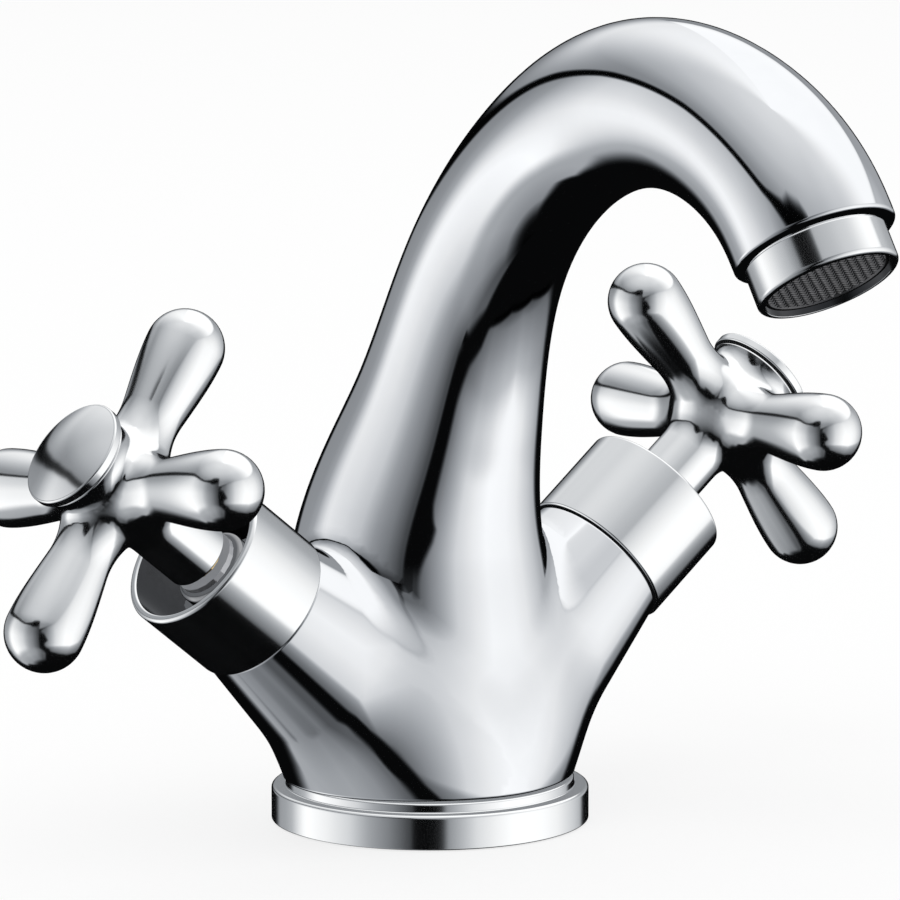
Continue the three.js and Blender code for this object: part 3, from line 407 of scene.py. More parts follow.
class SmoothLine:
    """Natural cubic spline through rows of values, along the chords of their first two columns."""

    def __init__(self, rows: np.ndarray) -> None:
        """Fits the line.

        Args:
            rows: Depth, height and radius at each station.
        """
        self.rows = rows
        self.places = np.concatenate([[0.0], np.cumsum(np.hypot(*np.diff(rows[:, :2], axis=0).T))])
        gap = np.diff(self.places)
        count = len(rows)
        system = np.eye(count)
        right = np.zeros_like(rows)
        for i in range(1, count - 1):
            system[i, i - 1:i + 2] = (gap[i - 1], 2 * (gap[i - 1] + gap[i]), gap[i])
            right[i] = 6 * ((rows[i + 1] - rows[i]) / gap[i] - (rows[i] - rows[i - 1]) / gap[i - 1])
        self.bend = np.linalg.solve(system, right)

    @property
    def length(self) -> float:
        """Length along the chords."""
        return float(self.places[-1])

    def at(self, place: np.ndarray, order: int = 0) -> np.ndarray:
        """Values at places along the line, or their first or second slopes.

        Args:
            place: Lengths along the line.
            order: 0 for the values, 1 or 2 for their slopes.

        Returns:
            One row for each place.
        """
        i = np.clip(np.searchsorted(self.places, place, side="right") - 1, 0, len(self.places) - 2)
        gap = (self.places[i + 1] - self.places[i])[:, None]
        a = (self.places[i + 1] - place)[:, None] / gap
        b = 1 - a
        low, high = self.bend[i], self.bend[i + 1]
        if order == 0:
            curve = ((a ** 3 - a) * low + (b ** 3 - b) * high) * gap ** 2 / 6
            return a * self.rows[i] + b * self.rows[i + 1] + curve
        if order == 1:
            curve = ((1 - 3 * a * a) * low + (3 * b * b - 1) * high) * gap / 6
            return (self.rows[i + 1] - self.rows[i]) / gap + curve
        return a * low + b * high


def slope_of(form: Field, points: np.ndarray, probe: float = 0.01) -> np.ndarray:
    """Slope of a distance field at points."""
    slope = np.empty_like(points)
    for axis in range(3):
        shift = np.zeros(3)
        shift[axis] = probe
        slope[:, axis] = (form(points + shift) - form(points - shift)) / (2 * probe)
    return slope


def unit(vectors: np.ndarray) -> np.ndarray:
    """Vectors at length one."""
    return vectors / np.maximum(np.linalg.norm(vectors, axis=-1, keepdims=True), 1e-12)


def sampled(form: Field, low: np.ndarray, count: np.ndarray, cell: float, block: int = 5,
            margin_share: float = 0.75) -> np.ndarray:
    """Values of a field on a grid, worked out closely only near its surface.

    Args:
        form: The distance field.
        low: Lowest corner of the grid.
        count: Points along each axis.
        cell: Gap between points.
        block: Points in a block that is tested at once.
        margin_share: Share of a block's diagonal within which its points are worked out closely.

    Returns:
        One value for each grid point.
    """
    blocks = -(-count // block)
    middles = np.stack(np.meshgrid(*[(np.arange(n) * block + (block - 1) / 2) * cell for n in blocks],
                                   indexing="ij"), -1) + low
    rough = form(middles.reshape(-1, 3)).reshape(blocks)
    for axis in range(3):
        rough = np.repeat(rough, block, axis=axis)
    values = rough[:count[0], :count[1], :count[2]].copy()
    near = np.argwhere(np.abs(values) < block * cell * math.sqrt(3) * margin_share + cell)
    values[tuple(near.T)] = form(low + near * cell)
    return values


def skin(form: Field, low: np.ndarray, high: np.ndarray, cell: float, rounds: int = 3,
         least_steepness: float = 0.05) -> tuple[np.ndarray, np.ndarray]:
    """Closed skin of even faces where a distance field changes sign.

    Args:
        form: The distance field.
        low: Lowest corner of its room.
        high: Highest corner of its room.
        cell: Size of a face.
        rounds: Rounds in which the points are drawn onto the form.
        least_steepness: Least squared slope that a round counts with.

    Returns:
        Points, and faces as rows of four point numbers.
    """
    low = np.asarray(low, float) - 2 * cell
    count = np.ceil((np.asarray(high, float) + 2 * cell - low) / cell).astype(int) + 1
    values = sampled(form, low, count, cell)
    cells = tuple(count - 1)
    sums, hits = np.zeros((*cells, 3)), np.zeros(cells)
    quads = []
    for axis in range(3):
        here = np.take(values, range(count[axis] - 1), axis)
        there = np.take(values, range(1, count[axis]), axis)
        crossed = (here < 0) != (there < 0)
        spots = np.argwhere(crossed)
        spots = spots[((spots > 0) & (spots < np.array(cells) - 1)).all(1)]
        start, end = here[tuple(spots.T)], there[tuple(spots.T)]
        points = low + spots * cell
        points[:, axis] += cell * start / (start - end)
        corners = []
        for u, v in ((0, 0), (1, 0), (1, 1), (0, 1)):
            around = spots.copy()
            around[:, (axis + 1) % 3] -= u
            around[:, (axis + 2) % 3] -= v
            np.add.at(sums, tuple(around.T), points)
            np.add.at(hits, tuple(around.T), 1)
            corners.append(np.ravel_multi_index(tuple(around.T), cells))
        faces = np.stack(corners, -1)
        quads.append(np.where((start < 0)[:, None], faces, faces[:, ::-1]))
    used = hits.ravel() > 0
    number = np.cumsum(used) - 1
    points = sums.reshape(-1, 3)[used] / hits.ravel()[used][:, None]
    for _ in range(rounds):
        slope = slope_of(form, points)
        steep = np.maximum((slope ** 2).sum(1), least_steepness)
        points = points - slope * (form(points) / steep)[:, None]
    return points, number[np.concatenate(quads)]


@dataclass(frozen=True)
class Cut:
    """A flat cut across an end of a skin.

    Attributes:
        matrix: Frame of the end, whose Z axis leaves the solid.
        height: Place of the cut along that axis.
        reach: How far from the axis the end lies.
        depth: How far behind the cut the end is looked for.
    """

    matrix: np.ndarray
    height: float
    reach: float
    depth: float


def cut_skin(points: np.ndarray, faces: np.ndarray, cuts: list[Cut],
             slack: float = 1e-3) -> tuple[np.ndarray, list[list[int]], list[np.ndarray]]:
    """Cuts the ends off a skin.

    Args:
        points: Points of the skin.
        faces: Its faces.
        cuts: The cuts.
        slack: How far past a cut a point still counts as on it.

    Returns:
        Points, faces, and for each cut the point numbers of its edge, running round its Z axis.
    """
    work = bmesh.new()
    corners = [work.verts.new(point) for point in points]
    for face in faces:
        work.faces.new([corners[i] for i in face])
    for cut in cuts:
        near = [v for v in work.verts if in_reach(cut, v.co)]
        edges = dict.fromkeys(e for v in near for e in v.link_edges)
        sides = dict.fromkeys(f for v in near for f in v.link_faces)
        plane = placed(np.array([[0.0, 0.0, cut.height]]), cut.matrix)[0]
        bmesh.ops.bisect_plane(work, geom=[*near, *edges, *sides], dist=slack / 10, plane_co=plane,
                               plane_no=cut.matrix[:3, 2])
        beyond = [v for v in work.verts if in_reach(cut, v.co) and height_in(cut, v.co) > cut.height + slack]
        bmesh.ops.delete(work, geom=beyond, context="VERTS")
    work.verts.ensure_lookup_table()
    work.verts.index_update()
    rings = []
    for cut in cuts:
        ends = [v for v in work.verts if v.is_boundary and in_reach(cut, v.co)]
        edge = [v for v in ends if abs(height_in(cut, v.co) - cut.height) < 10 * slack]
        local = to_local(np.array([v.co[:] for v in edge]), cut.matrix)
        order = np.argsort(np.arctan2(local[:, 1], local[:, 0]))
        rings.append(np.array([edge[i].index for i in order]))
    fresh = np.array([v.co[:] for v in work.verts])
    outlines = [[v.index for v in f.verts] for f in work.faces]
    work.free()
    return fresh, outlines, rings


def height_in(cut: Cut, point: Vector) -> float:
    """Place of a point along the axis of a cut."""
    return float((np.array(point) - cut.matrix[:3, 3]) @ cut.matrix[:3, 2])


def in_reach(cut: Cut, point: Vector) -> bool:
    """Whether a point belongs to the end that a cut takes off."""
    local = to_local(np.array(point), cut.matrix)
    return math.hypot(local[0], local[1]) < cut.reach and local[2] > cut.height - cut.depth


# Finishes


def add_node(tree: bpy.types.NodeTree, kind: str, **settings: object) -> bpy.types.Node:
    """Adds a node with its settings."""
    node = tree.nodes.new(kind)
    for key, value in settings.items():
        setattr(node, key, value)
    return node


@dataclass(frozen=True)
class WearGroup:
    """Slow drift of tone and gloss over a surface, with fine specks and a slight unevenness."""

    name: str = "surface_wear"
    speck_ratio: float = 9.0
    speck_height: float = 0.15
    slow_detail: float = 3.0
    fine_detail: float = 2.0
    dull_range: Pair = (0.35, 0.7)

    def build(self) -> bpy.types.NodeTree:
        """Makes the node group once.

        Returns:
            The group, with a colour, a roughness and a height.
        """
        found = bpy.data.node_groups.get(self.name)
        if found:
            return found
        tree = bpy.data.node_groups.new(self.name, "ShaderNodeTree")
        sockets = tree.interface
        for label, kind in (("Vector", "Vector"), ("Scale", "Float"), ("Clean", "Color"), ("Worn", "Color"),
                            ("Smooth", "Float"), ("Rough", "Float")):
            sockets.new_socket(label, in_out="INPUT", socket_type=f"NodeSocket{kind}")
        for label, kind in (("Color", "Color"), ("Roughness", "Float"), ("Height", "Float")):
            sockets.new_socket(label, in_out="OUTPUT", socket_type=f"NodeSocket{kind}")
        source = add_node(tree, "NodeGroupInput")
        target = add_node(tree, "NodeGroupOutput")
        slow = add_node(tree, "ShaderNodeTexNoise")
        slow.inputs["Detail"].default_value = self.slow_detail
        fine = add_node(tree, "ShaderNodeTexNoise")
        fine.inputs["Detail"].default_value = self.fine_detail
        finer = add_node(tree, "ShaderNodeMath", operation="MULTIPLY")
        finer.inputs[1].default_value = self.speck_ratio
        ramp = add_node(tree, "ShaderNodeMapRange")
        ramp.inputs["From Min"].default_value, ramp.inputs["From Max"].default_value = self.dull_range
        both = add_node(tree, "ShaderNodeMath", operation="MULTIPLY")
        tone = add_node(tree, "ShaderNodeMix", data_type="RGBA")
        gloss = add_node(tree, "ShaderNodeMapRange")
        height = add_node(tree, "ShaderNodeMath", operation="MULTIPLY_ADD")
        height.inputs[1].default_value = self.speck_height
        link = tree.links.new
        link(source.outputs["Vector"], slow.inputs["Vector"])
        link(source.outputs["Vector"], fine.inputs["Vector"])
        link(source.outputs["Scale"], slow.inputs["Scale"])
        link(source.outputs["Scale"], finer.inputs[0])
        link(finer.outputs[0], fine.inputs["Scale"])
        link(slow.outputs["Fac"], ramp.inputs["Value"])
        link(ramp.outputs["Result"], both.inputs[0])
        link(fine.outputs["Fac"], both.inputs[1])
        link(both.outputs[0], tone.inputs["Factor"])
        link(source.outputs["Clean"], tone.inputs["A"])
        link(source.outputs["Worn"], tone.inputs["B"])
        link(both.outputs[0], gloss.inputs["Value"])
        link(source.outputs["Smooth"], gloss.inputs["To Min"])
        link(source.outputs["Rough"], gloss.inputs["To Max"])
        link(fine.outputs["Fac"], height.inputs[0])
        link(slow.outputs["Fac"], height.inputs[2])
        link(tone.outputs["Result"], target.inputs["Color"])
        link(gloss.outputs["Result"], target.inputs["Roughness"])
        link(height.outputs[0], target.inputs["Height"])
        return tree


@dataclass(frozen=True)
class Finish:
    """A finish of the mixer, as a principled material.

    Attributes:
        name: Name of the material.
        slot: Material slot of the record; not used.
        clean: Colour where the surface is clean.
        worn: Colour where it is dull.
        smooth: Least roughness.
        rough: Most roughness.
        metallic: Whether it is metal.
        scale: Size of the drift, in features for each metre.
        relief: Height of the unevenness, in metres.
        specular: Strength of the shine on what isn't metal.
    """

    name: str
    slot: str
    clean: Colour
    worn: Colour
    smooth: float
    rough: float
    metallic: float = 1.0
    scale: float = 60.0
    relief: float = 0.0
    specular: float = 0.5

    def build(self) -> bpy.types.Material:
        """Makes the material once.

        Returns:
            The material.
        """
        found = bpy.data.materials.get(self.name)
        if found:
            return found
        material = bpy.data.materials.new(self.name)
        material.use_nodes = True
        tree = material.node_tree
        shader = tree.nodes["Principled BSDF"]
        shader.inputs["Metallic"].default_value = self.metallic
        shader.inputs["Specular IOR Level"].default_value = self.specular
        place = add_node(tree, "ShaderNodeTexCoord")
        wear = add_node(tree, "ShaderNodeGroup")
        wear.node_tree = WearGroup().build()
        wear.inputs["Scale"].default_value = self.scale
        wear.inputs["Clean"].default_value = (*self.clean, 1.0)
        wear.inputs["Worn"].default_value = (*self.worn, 1.0)
        wear.inputs["Smooth"].default_value = self.smooth
        wear.inputs["Rough"].default_value = self.rough
        link = tree.links.new
        link(place.outputs["Object"], wear.inputs["Vector"])
        link(wear.outputs["Color"], shader.inputs["Base Color"])
        link(wear.outputs["Roughness"], shader.inputs["Roughness"])
        if self.relief > 0:
            bump = add_node(tree, "ShaderNodeBump")
            bump.inputs["Strength"].default_value = 1.0
            bump.inputs["Distance"].default_value = self.relief
            link(wear.outputs["Height"], bump.inputs["Height"])
            link(bump.outputs["Normal"], shader.inputs["Normal"])
        return material

    def dress(self, piece: bpy.types.Object) -> None:
        """Gives a CAD node this finish."""
        piece.data.materials.clear()
        piece.data.materials.append(self.build())


class Finishes:
    """The finishes of the mixer."""

    chrome = ((0.785, 0.8, 0.82), (0.74, 0.755, 0.78))
    casting = Finish("chrome_casting", "chrome_body", *chrome, 0.04, 0.08, scale=38.0, relief=0.000004)
    trim = Finish("chrome_trim", "chrome_trim", *chrome, 0.03, 0.065, scale=70.0, relief=0.000002)
    handle = Finish("chrome_handle", "chrome_handle", *chrome, 0.03, 0.07, scale=60.0, relief=0.000002)
    # Plated brass darkened to a dark grey: the painted shade of the sleeve's mouth that the headwork sits in.
    plated = Finish("plated_brass", "plain_brass", (0.3, 0.305, 0.315), (0.22, 0.225, 0.235), 0.12, 0.25,
                    scale=200.0, relief=0.000006)
    # Nearly black inside finish: unpolished metal, with the shade inside bores painted into its colour.
    inside = Finish("dull_inside", "chrome_trim", (0.05, 0.052, 0.056), (0.03, 0.031, 0.034), 0.2, 0.35,
                    scale=120.0, relief=0.000006)
    brass = Finish("turned_brass", "plain_brass", (0.72, 0.55, 0.27), (0.55, 0.41, 0.2), 0.22, 0.4,
                   scale=220.0, relief=0.00001)
    steel = Finish("spring_steel", "spring_steel", (0.58, 0.58, 0.57), (0.45, 0.45, 0.44), 0.2, 0.38,
                   scale=240.0, relief=0.000008)
    rubber = Finish("black_rubber", "black_rubber", (0.018, 0.018, 0.019), (0.035, 0.035, 0.035), 0.55, 0.8,
                    metallic=0.0, scale=400.0, relief=0.00002)
    ceramic = Finish("white_ceramic", "white_ceramic", (0.86, 0.85, 0.82), (0.8, 0.78, 0.74), 0.12, 0.25,
                     metallic=0.0, scale=300.0, relief=0.000003)
    plastic = Finish("dark_plastic", "dark_plastic", (0.05, 0.052, 0.055), (0.08, 0.082, 0.085), 0.3, 0.5,
                     metallic=0.0, scale=350.0, relief=0.00001)
    mesh = Finish("screen_wire", "dark_plastic", (0.12, 0.12, 0.125), (0.06, 0.06, 0.06), 0.3, 0.5,
                  scale=500.0, relief=0.000005)


# Sub-assemblies


@dataclass
class SubAssembly:
    """A sub-assembly that makes pieces and sets them on a CAD body.

    Attributes:
        body: Name of the CAD body.
    """

    body: str

    def place(self, piece: bpy.types.Object, finish: Finish, *nodes: str) -> bpy.types.Object:
        """Sets a finished piece on the body in place of its CAD nodes.

        The chrome mirrors the tent and none of the pieces, as in a retouched picture.

        Args:
            piece: The piece, where it belongs.
            finish: Its finish; not used.
            *nodes: CAD nodes that it stands for.

        Returns:
            The piece.
        """
        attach(piece, self.body)
        piece.visible_glossy = False
        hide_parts(*nodes)
        LOG.info("%s: %d faces, for %s", piece.name, len(piece.data.polygons), ", ".join(nodes))
        return piece


@dataclass
class Casting(SubAssembly):
    """Body, valve arms and spout in one smooth casting."""

    body: str = FixedBody.MIXER.value
    reach: float = 107.6
    outlet_height: float = 106.3
    crown_height: float = 131.7
    outlet_tilt: float = math.radians(33.2)
    spout_radius: float = 14.0
    foot_radius: float = 20.0
    column_setback: float = 3.4
    column_radius: float = 22.3
    column_foot_height: float = 46.3
    foot_shares: tuple = ((0.3, -0.2, 0.0), (0.3, 0.13, 0.0), (0.74, 0.605, 1.7))
    spout_shares: tuple = ((0.044, 0.55, 1.214), (0.1444, 0.7534, 1.007), (0.319, 0.9169, 0.964),
                           (0.5466, 1.0, 1.021), (0.7695, 0.982, 1.007), (0.9248, 0.9, 1.0035))
    axis_height: float = 12.6
    axis_rise: float = math.radians(38.4)
    arm_length: float = 46.9
    arm_root_radius: float = 22.1
    arm_end_radius: float = 13.6
    arm_blend: float = 12.0
    crease_blend: float = 4.5
    apron_blend: float = 8.0
    crease_span: Pair = (2.0, 16.0)
    mouth_show: float = 7.0
    mouth_edge: float = 0.7
    mouth_bore: float = 11.7
    mouth_depth: float = 12.0
    arm_edge: float = 0.4
    chamber_radius: float = 10.2
    chamber_depth: float = 6.0
    foot_lift: float = 7.9
    foot_edge: float = 0.5
    hole_depth: float = 13.0
    hole_facets: int = 32
    holes: tuple = ((-9.5, -5.0, 4.6), (9.5, -5.0, 4.6), (0.0, 13.0, 3.5))
    overrun: float = 4.0
    end_reach: float = 20.0
    foot_reach: float = 60.0
    end_depth: float = 5.0
    cell: float = 1.25
    line: SmoothLine = field(init=False)

    def __post_init__(self) -> None:
        """Fits the spout's centre line."""
        rows = [(self.column_setback * back, self.column_foot_height * height,
                 self.foot_radius + (self.column_radius - self.foot_radius) * way)
                for back, height, way in self.foot_shares]
        rows.append((self.column_setback, self.column_foot_height, self.column_radius))
        rows.extend((-self.reach * out, self.crown_height * up, self.spout_radius * girth)
                    for out, up, girth in self.spout_shares)
        rows.append((-self.reach, self.outlet_height, self.spout_radius))
        self.line = SmoothLine(np.array(rows))

    def valve_frame(self, side: Side) -> np.ndarray:
        """Frame of a valve, whose Z axis runs outwards along the valve's axis."""
        turn = rotation(1, side.value * (math.pi / 2 - self.axis_rise))
        return translation(0, 0, self.axis_height) @ turn

    def outlet_frame(self) -> np.ndarray:
        """Frame of the outlet, whose Z axis runs back up into the spout."""
        return translation(0, -self.reach, self.outlet_height) @ rotation(0, -self.outlet_tilt)

    def spout_form(self, points: np.ndarray, marks: int = 56, rounds: int = 4) -> np.ndarray:
        """Distance to the spout and column.

        Args:
            points: Places to measure from.
            marks: Stretches of the line that are tried first.
            rounds: Rounds in which the nearest place is refined.

        Returns:
            One distance for each point.
        """
        places = np.linspace(0, self.line.length, marks + 1)
        nearest = np.full(len(points), np.inf)
        place = np.zeros(len(points))
        for where, (depth, height, radius) in zip(places, self.line.at(places)):
            gap = length_of(points[:, 0], points[:, 1] - depth, points[:, 2] - height) - radius
            closer = gap < nearest
            nearest[closer] = gap[closer]
            place[closer] = where
        limit = self.line.length / marks
        for _ in range(rounds):
            here, run, curve = (self.line.at(place, order) for order in range(3))
            dy, dz = points[:, 1] - here[:, 0], points[:, 2] - here[:, 1]
            away = np.maximum(length_of(points[:, 0], dy, dz), 1e-6)
            along = dy * run[:, 0] + dz * run[:, 1]
            slope = -along / away - run[:, 2]
            bend = ((run[:, 0] ** 2 + run[:, 1] ** 2 - dy * curve[:, 0] - dz * curve[:, 1]) / away
                    - along ** 2 / away ** 3 - curve[:, 2])
            step = np.clip(slope / np.maximum(bend, 1e-2), -limit, limit)
            place = np.clip(place - step, 0, self.line.length)
        here = self.line.at(place)
        away = length_of(points[:, 0], points[:, 1] - here[:, 0], points[:, 2] - here[:, 1])
        return away - here[:, 2]

    def arm_form(self, points: np.ndarray, side: Side) -> np.ndarray:
        """Distance to one valve arm."""
        local = to_local(points, self.valve_frame(side))
        along = local[:, 2]
        away = np.hypot(local[:, 0], local[:, 1])
        taper = (self.arm_end_radius - self.arm_root_radius) / self.arm_length
        cone = np.maximum(away - self.arm_root_radius - taper * along, along - self.arm_length - self.overrun)
        return np.where(along < 0, np.hypot(away, along) - self.arm_root_radius, cone)

    def form(self, points: np.ndarray) -> np.ndarray:
        """Distance to the whole casting."""
        arms = blended(self.arm_form(points, Side.HOT), self.arm_form(points, Side.COLD), self.arm_blend)
        above = points[:, 2] - self.axis_height - np.abs(points[:, 0]) * math.tan(self.axis_rise)
        blend = between(self.apron_blend, self.crease_blend, smooth_step(above, *self.crease_span))
        whole = blended(self.spout_form(points), arms, blend)
        return np.maximum(whole, -points[:, 2] - self.overrun) + SKIN_INSET

    def end_cuts(self) -> list[Cut]:
        """Cuts across the two arms, the mouth and the foot."""
        flip = rotation(0, math.pi)
        arm = self.arm_length - self.arm_edge
        mouth = -self.mouth_show - self.mouth_edge
        return [
            Cut(self.valve_frame(Side.HOT), arm, self.end_reach, self.end_depth),
            Cut(self.valve_frame(Side.COLD), arm, self.end_reach, self.end_depth),
            Cut(self.outlet_frame() @ flip, mouth, self.end_reach, self.end_depth),
            Cut(flip, -self.foot_lift - self.foot_edge, self.foot_reach, self.end_depth),
        ]

    def rims(self) -> list[list[Bend]]:
        """Profiles that close the ends, in the frames of the cuts."""
        arm, mouth, foot = self.arm_length, -self.mouth_show, -self.foot_lift
        chamber_floor, mouth_roof = arm - self.chamber_depth, mouth - self.mouth_depth
        arm_rim = end_profile(self.arm_end_radius, arm, self.arm_edge, [
            (self.chamber_radius, arm), (self.chamber_radius, chamber_floor), (0.0, chamber_floor)])
        mouth_rim = end_profile(self.spout_radius, mouth, self.mouth_edge, [
            (self.mouth_bore, mouth), (self.mouth_bore, mouth_roof), (0.0, mouth_roof)])
        foot_rim = end_profile(self.foot_radius, foot, self.foot_edge, [
            (self.foot_radius, foot), (self.foot_radius, 0.0)])
        return [arm_rim, arm_rim, mouth_rim, foot_rim]

    def build(self) -> bpy.types.Object:
        """Makes the casting.

        Returns:
            The piece.
        """
        cell = self.cell
        side = self.arm_length + self.arm_root_radius
        room = self.spout_radius
        points, faces = skin(self.form, [-side, -self.reach - room, -room],
                             [side, self.foot_radius + room, self.crown_height + room], cell)
        surface = Surface()
        rings = add_cut_skin(surface, self.form, points, faces, self.end_cuts(), self.rims())
        self.close_foot(surface, rings[-1])
        return self.place(surface.to_object("mixer_casting", Finishes.casting.build()), Finishes.casting,
                          "body_casting")

    def close_foot(self, surface: Surface, ring: np.ndarray) -> None:
        """Closes the underside, with its two inlets and the stud's hole.

        Args:
            surface: The casting so far.
            ring: Point numbers of the foot's lower edge.
        """
        down = np.array([0.0, 0.0, -1.0])
        flip = rotation(0, math.pi)
        angles = np.arange(self.hole_facets) * 2 * math.pi / self.hole_facets
        loops = [ring]
        for x, y, radius in self.holes:
            across, back = x + radius * np.cos(angles), y + radius * np.sin(angles)
            loops.append(surface.add_points(np.column_stack([across, back, np.zeros(len(angles))])))
        points = np.concatenate(surface.points)
        work = bmesh.new()
        numbers = np.concatenate(loops)
        corners = {int(n): work.verts.new(points[n]) for n in numbers}
        names = {corner: number for number, corner in corners.items()}
        for loop in loops:
            for i, number in enumerate(loop):
                work.edges.new((corners[int(number)], corners[int(loop[(i + 1) % len(loop)])]))
        made = bmesh.ops.triangle_fill(work, use_beauty=True, edges=work.edges[:], normal=down)
        for face in (item for item in made["geom"] if isinstance(item, bmesh.types.BMFace)):
            outline = [names[v] for v in face.verts]
            a, b, c = (points[i] for i in outline[:3])
            if np.cross(b - a, c - a)[2] > 0:
                outline.reverse()
            surface.add_faces([outline], [np.tile(down, (len(outline), 1))])
        work.free()
        for (x, y, radius), loop in zip(self.holes, loops[1:]):
            frame = translation(x, y, 0) @ flip
            wall = [Bend(radius, 0.0, (-1, 0), (-1, 0)), Bend(radius, -self.hole_depth, (-1, 0), (0, 1)),
                    Bend(0.0, -self.hole_depth, (0, 1), (0, 1))]
            order = loop[::-1]
            local = to_local(np.concatenate(surface.points)[order], frame)
            looks = -np.column_stack([local[:, :2] / radius, np.zeros(len(order))]) @ frame[:3, :3].T
            surface.add_rim(order, looks, wall, frame)


def end_profile(radius: float, height: float, edge: float, corners: list[Pair],
                steps: int = 6) -> list[Bend]:
    """Profile of a rim that rolls over an end face and runs on through corners.

    Args:
        radius: Radius of the edge, which follows the skin.
        height: Height of the end face.
        edge: Radius that the edge is rolled to.
        corners: Radius and height of what follows.
        steps: Rings in the rolled edge.

    Returns:
        The rings, the first of which stands for the skin's own edge.
    """
    bends = []
    for step in range(steps + 1):
        angle = math.pi / 2 * step / steps
        look = (math.cos(angle), math.sin(angle))
        bends.append(Bend(radius - edge * (1 - look[0]), height - edge * (1 - look[1]), look, look, True))
    path = [(radius - edge, height), *corners]
    for index in range(1, len(path)):
        here = path[index]
        before = outward(path[index - 1], here)
        after = outward(here, path[index + 1]) if index + 1 < len(path) else before
        bends.append(Bend(here[0], here[1], before, after))
    return bends


def add_cut_skin(surface: Surface, form: Field, points: np.ndarray, faces: np.ndarray, cuts: list[Cut],
                 rims: list[list[Bend]], matrix: np.ndarray | None = None) -> list[np.ndarray]:
    """Adds a skin with its ends cut off and closed by rims.

    Args:
        surface: Where the faces go.
        form: The distance field of the skin.
        points: Points of the skin, in the field's frame.
        faces: Its faces.
        cuts: Cuts across its ends, in the field's frame.
        rims: One profile for each cut.
        matrix: Frame of the field, or none where it is the mixer's own.

    Returns:
        For each rim, the point numbers of its last ring.
    """
    frame = np.eye(4) if matrix is None else matrix
    fresh, outlines, rings = cut_skin(points, faces, cuts)
    looks = unit(slope_of(form, fresh)) @ frame[:3, :3].T
    first = surface.total
    surface.add_points(placed(fresh, frame))
    surface.add_faces([[first + i for i in outline] for outline in outlines],
                      [looks[outline] for outline in outlines])
    return [surface.add_rim(first + ring, looks[ring], rim, frame @ cut.matrix)
            for ring, rim, cut in zip(rings, rims, cuts)]


@dataclass
class BaseRing(SubAssembly):
    """Ring on the deck with a low collar."""

    body: str = FixedBody.MIXER.value
    radius: float = 28.0
    height: float = 6.0
    edge: float = 0.6
    collar_radius: float = 25.4
    collar_height: float = 1.6
    collar_edge: float = 0.35
    foot_edge: float = 0.25
    bore: float = 20.3
    bore_edge: float = 0.2
    groove: tuple = (25.0, 27.2, 2.5)
    facets: int = 192

    def build(self) -> bpy.types.Object:
        """Makes the ring.

        Returns:
            The piece.
        """
        inner, outer, depth = self.groove
        top = self.height + self.collar_height
        bends = profile([
            (self.bore, 0, BREAK), (inner, 0, BREAK), (inner, depth, BREAK), (outer, depth, BREAK),
            (outer, 0, BREAK), (self.radius, 0, self.foot_edge), (self.radius, self.height, self.edge),
            (self.collar_radius, self.height, self.foot_edge), (self.collar_radius, top, self.collar_edge),
            (self.bore, top, self.bore_edge),
        ])
        surface = Surface()
        surface.add_turned(bends, self.facets, np.eye(4))
        return self.place(surface.to_object("foot_ring", Finishes.trim.build()), Finishes.trim, "base_ring")


@dataclass
class Aerator(SubAssembly):
    """Chrome ring in the spout's mouth and the woven screen inside it."""

    frame: np.ndarray = field(default_factory=lambda: np.eye(4))
    body: str = FixedBody.MIXER.value
    radius: float = 12.15
    bore: float = 10.2
    edge: float = 0.9
    lip_bore: float = 10.95
    lip_height: float = 2.8
    lip_edge: float = 0.2
    show: float = 6.7
    shoulder_edge: float = 0.3
    thread_radius: float = 11.4
    top: float = 13.6
    screen_radius: float = 10.85
    screen_middle: float = 1.6
    screen_height: float = 1.1
    wire_radius: float = 0.19
    wire_pitch: float = 0.95
    wire_sides: int = 6
    wire_steps: int = 4
    weave_share: float = 1.05
    rim_width: float = 0.7
    facets: int = 144
    screen_facets: int = 96

    def build(self) -> None:
        """Makes the ring and the screen."""
        bends = profile([
            (self.lip_bore, 0, self.lip_edge), (self.radius, 0, self.edge),
            (self.radius, self.show, self.shoulder_edge), (self.thread_radius, self.show, BREAK),
            (self.thread_radius, self.top, BREAK), (self.bore, self.top, BREAK),
            (self.bore, self.lip_height, BREAK), (self.lip_bore, self.lip_height, BREAK),
        ])
        surface = Surface()
        surface.add_turned(bends, self.facets, self.frame)
        ring = surface.to_object("aerator_ring", Finishes.trim.build())
        # The ring's inside gets the nearly black finish with painted shade.
        dull_inside(ring, self.frame, self.lip_bore)
        self.place(ring, Finishes.trim, "aerator_housing")
        screen = Surface()
        self.add_wires(screen)
        low, high = (self.screen_middle + half * self.screen_height / 2 for half in (-1, 1))
        inner = self.screen_radius - self.rim_width
        rim = profile([(inner, low, BREAK), (self.screen_radius, low, self.lip_edge),
                       (self.screen_radius, high, self.lip_edge), (inner, high, BREAK)])
        screen.add_turned(rim, self.screen_facets, self.frame)
        self.place(screen.to_object("aerator_woven_screen", Finishes.mesh.build()), Finishes.mesh,
                   "aerator_screen")

    def add_wires(self, surface: Surface) -> None:
        """Adds the wires of the screen, each over and under its neighbours."""
        reach = self.screen_radius - self.rim_width / 2
        count = int(reach / self.wire_pitch)
        for number in range(-count, count + 1):
            offset = number * self.wire_pitch
            half = math.sqrt(max(reach ** 2 - offset ** 2, 0))
            if half < self.wire_pitch:
                continue
            steps = int(2 * half / self.wire_pitch * self.wire_steps)
            along = np.linspace(-half, half, max(steps, self.wire_steps))
            for turn in (0, 1):
                swing = np.cos(math.pi * (along / self.wire_pitch + number + turn))
                height = self.screen_middle + swing * self.wire_radius * self.weave_share
                line = np.column_stack([along, np.full(len(along), offset), height])
                if turn:
                    line[:, [0, 1]] = line[:, [1, 0]]
                add_wire(surface, line, self.wire_radius, self.wire_sides, self.frame)


